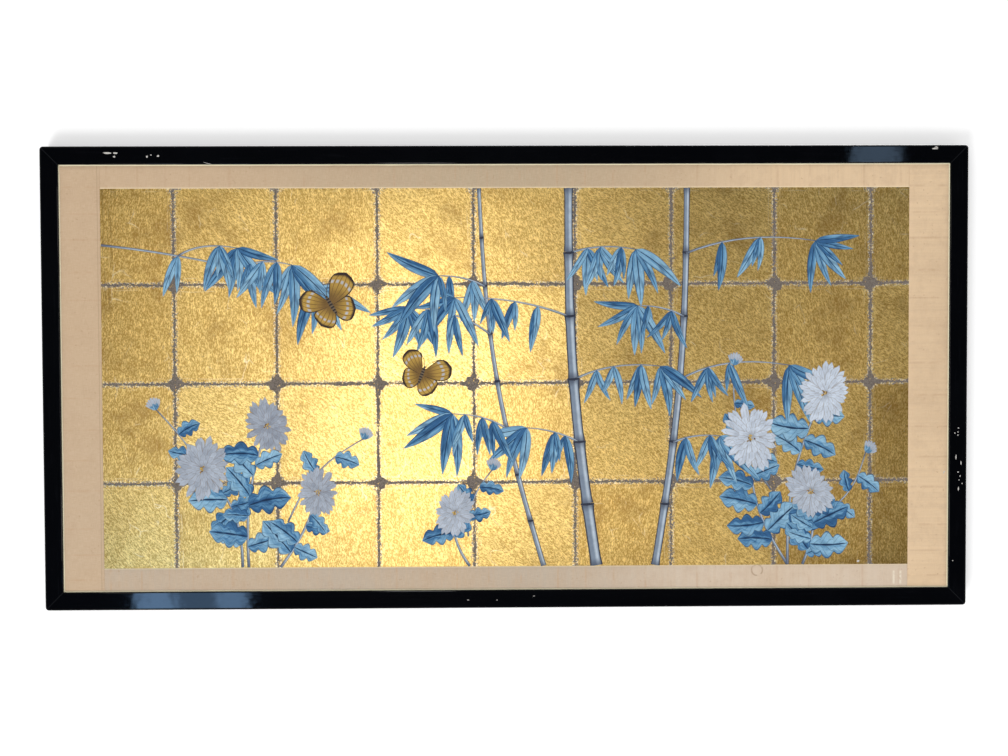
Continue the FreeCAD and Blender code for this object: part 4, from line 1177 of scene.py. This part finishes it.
def room_plane(name, corners, colour, glow):
    data = bpy.data.meshes.new(name)
    data.from_pydata(corners, [], [(0, 1, 2, 3)])
    made = bpy.data.objects.new(name, data)
    bpy.context.scene.collection.objects.link(made)
    material = bpy.data.materials.new(name)
    material.use_nodes = True
    tree = material.node_tree
    tree.nodes.remove(tree.nodes["Principled BSDF"])
    paint = place_node(tree, "BsdfDiffuse", {"Color": tint(colour)}).outputs[0]
    lit = place_node(tree, "Emission", {"Color": (1, 1, 1, 1), "Strength": glow}).outputs[0]
    face = place_node(tree, "AddShader", {0: paint, 1: lit}).outputs[0]
    clear = place_node(tree, "BsdfTransparent").outputs[0]
    behind = place_node(tree, "NewGeometry").outputs["Backfacing"]
    sides = place_node(tree, "MixShader", {0: behind, 1: face, 2: clear}).outputs[0]
    join_up(sides, tree.nodes["Material Output"].inputs["Surface"])
    data.materials.append(material)
    for kind in ("diffuse", "glossy", "transmission", "shadow"):
        setattr(made, "visible_" + kind, False)


room_plane("wall", wall_foot + wall_head, wall_white, 0.24)
room_plane("floor", floor_edge + wall_foot[::-1], floor_white, 0.3)


# Light: plain and soft. A low softbox at the left throws the panel's shadow up and to the right on the wall;
# a tall one behind the camera gives the gold its glow, within five dimmer warm cards. Small cool cards shine
# in the lacquer.
plain_white = (1, 1, 1)
card_warm = (1.0, 0.96, 0.88)
pane_cool = (0.34, 0.60, 1.0)
corner_cool = (0.45, 0.68, 1.0)
room_light, least_mirrored = 0.51, 0.03


def softbox(name, place, aim, size, power, colour=plain_white, on_matt=True, in_reflections=True,
            shape="ELLIPSE"):
    data = bpy.data.lights.new(name, "AREA")
    data.shape = shape
    data.size, data.size_y = size
    data.energy = power
    data.color = colour
    made = bpy.data.objects.new(name, data)
    made.location = place
    made.rotation_euler = (Vector(aim) - Vector(place)).to_track_quat("-Z", "Y").to_euler()
    made.visible_camera = False
    made.visible_diffuse = on_matt
    made.visible_glossy = in_reflections
    bpy.context.scene.collection.objects.link(made)


def facing_card(name, place, size, power, colour, shape="ELLIPSE"):
    """A card straight in front of a place on the panel, seen only in reflections."""
    softbox(name, place, (place[0], 0, place[2]), size, power, colour, on_matt=False, shape=shape)


softbox("low_softbox", (-2.5, -4.8, -4.4), (0, 0, 0), (3.3, 3.3), 228, in_reflections=False)
facing_card("glow_softbox", (-0.265, -3.0, -0.12), (0.25, 1.0), 7.2, plain_white)
softbox("wide_softbox", (0.95, -4.8, -0.2), (0, 0, 0), (0.8, 0.8), 37, in_reflections=False)
softbox("back_softbox", (1.2, 2.4, 1.6), (0, 0, 0), (1.6, 1.6), 60)
for side, x, z, wide, tall, power in (
        ("left", -1.20, -0.18, 0.27, 1.04, 2.15), ("right", 1.19, -0.08, 0.48, 1.26, 2.0),
        ("high", -0.42, 0.45, 1.86, 0.20, 2.9), ("low", -0.50, -0.58, 0.90, 0.22, 2.2),
        ("foot", 0.40, -0.58, 0.90, 0.22, 2.3)):
    facing_card("gold_card_" + side, (x, -3.01, z), (wide, tall), power, card_warm, "RECTANGLE")
facing_card("rail_card", (-1.04, -3.0, -0.88), (0.40, 0.34), 2.3, pane_cool, "RECTANGLE")
facing_card("rail_pane_left", (-1.16, -2.99, -0.88), (0.13, 0.30), 0.7, pane_cool)
facing_card("rail_pane_right", (-0.90, -2.99, -0.88), (0.10, 0.30), 0.45, pane_cool)
facing_card("corner_card", (1.32, -3.0, 0.67), (0.17, 0.20), 0.36, corner_cool)

world = bpy.data.worlds.new("studio")
bpy.context.scene.world = world
world.use_nodes = True
path = place_node(world.node_tree, "LightPath").outputs
toward = axes_of(place_node(world.node_tree, "TexCoord").outputs["Generated"])
aside, at_wall = fade(toward["Y"], -0.90, -0.65), fade(toward["Y"], -0.35, 0.25)
mirrored = plus(plus(times(aside, 0.42), times(at_wall, 0.55)), least_mirrored)
seen_white = greater(path["Is Camera Ray"], path["Is Transmission Ray"])
strength = plus(room_light, times(path["Is Glossy Ray"], minus(mirrored, room_light)))
feed(world.node_tree.nodes["Background"], Color=(1, 1, 1, 1), Strength=greater(strength, seen_white))

bpy.context.scene.view_settings.view_transform = "Standard"
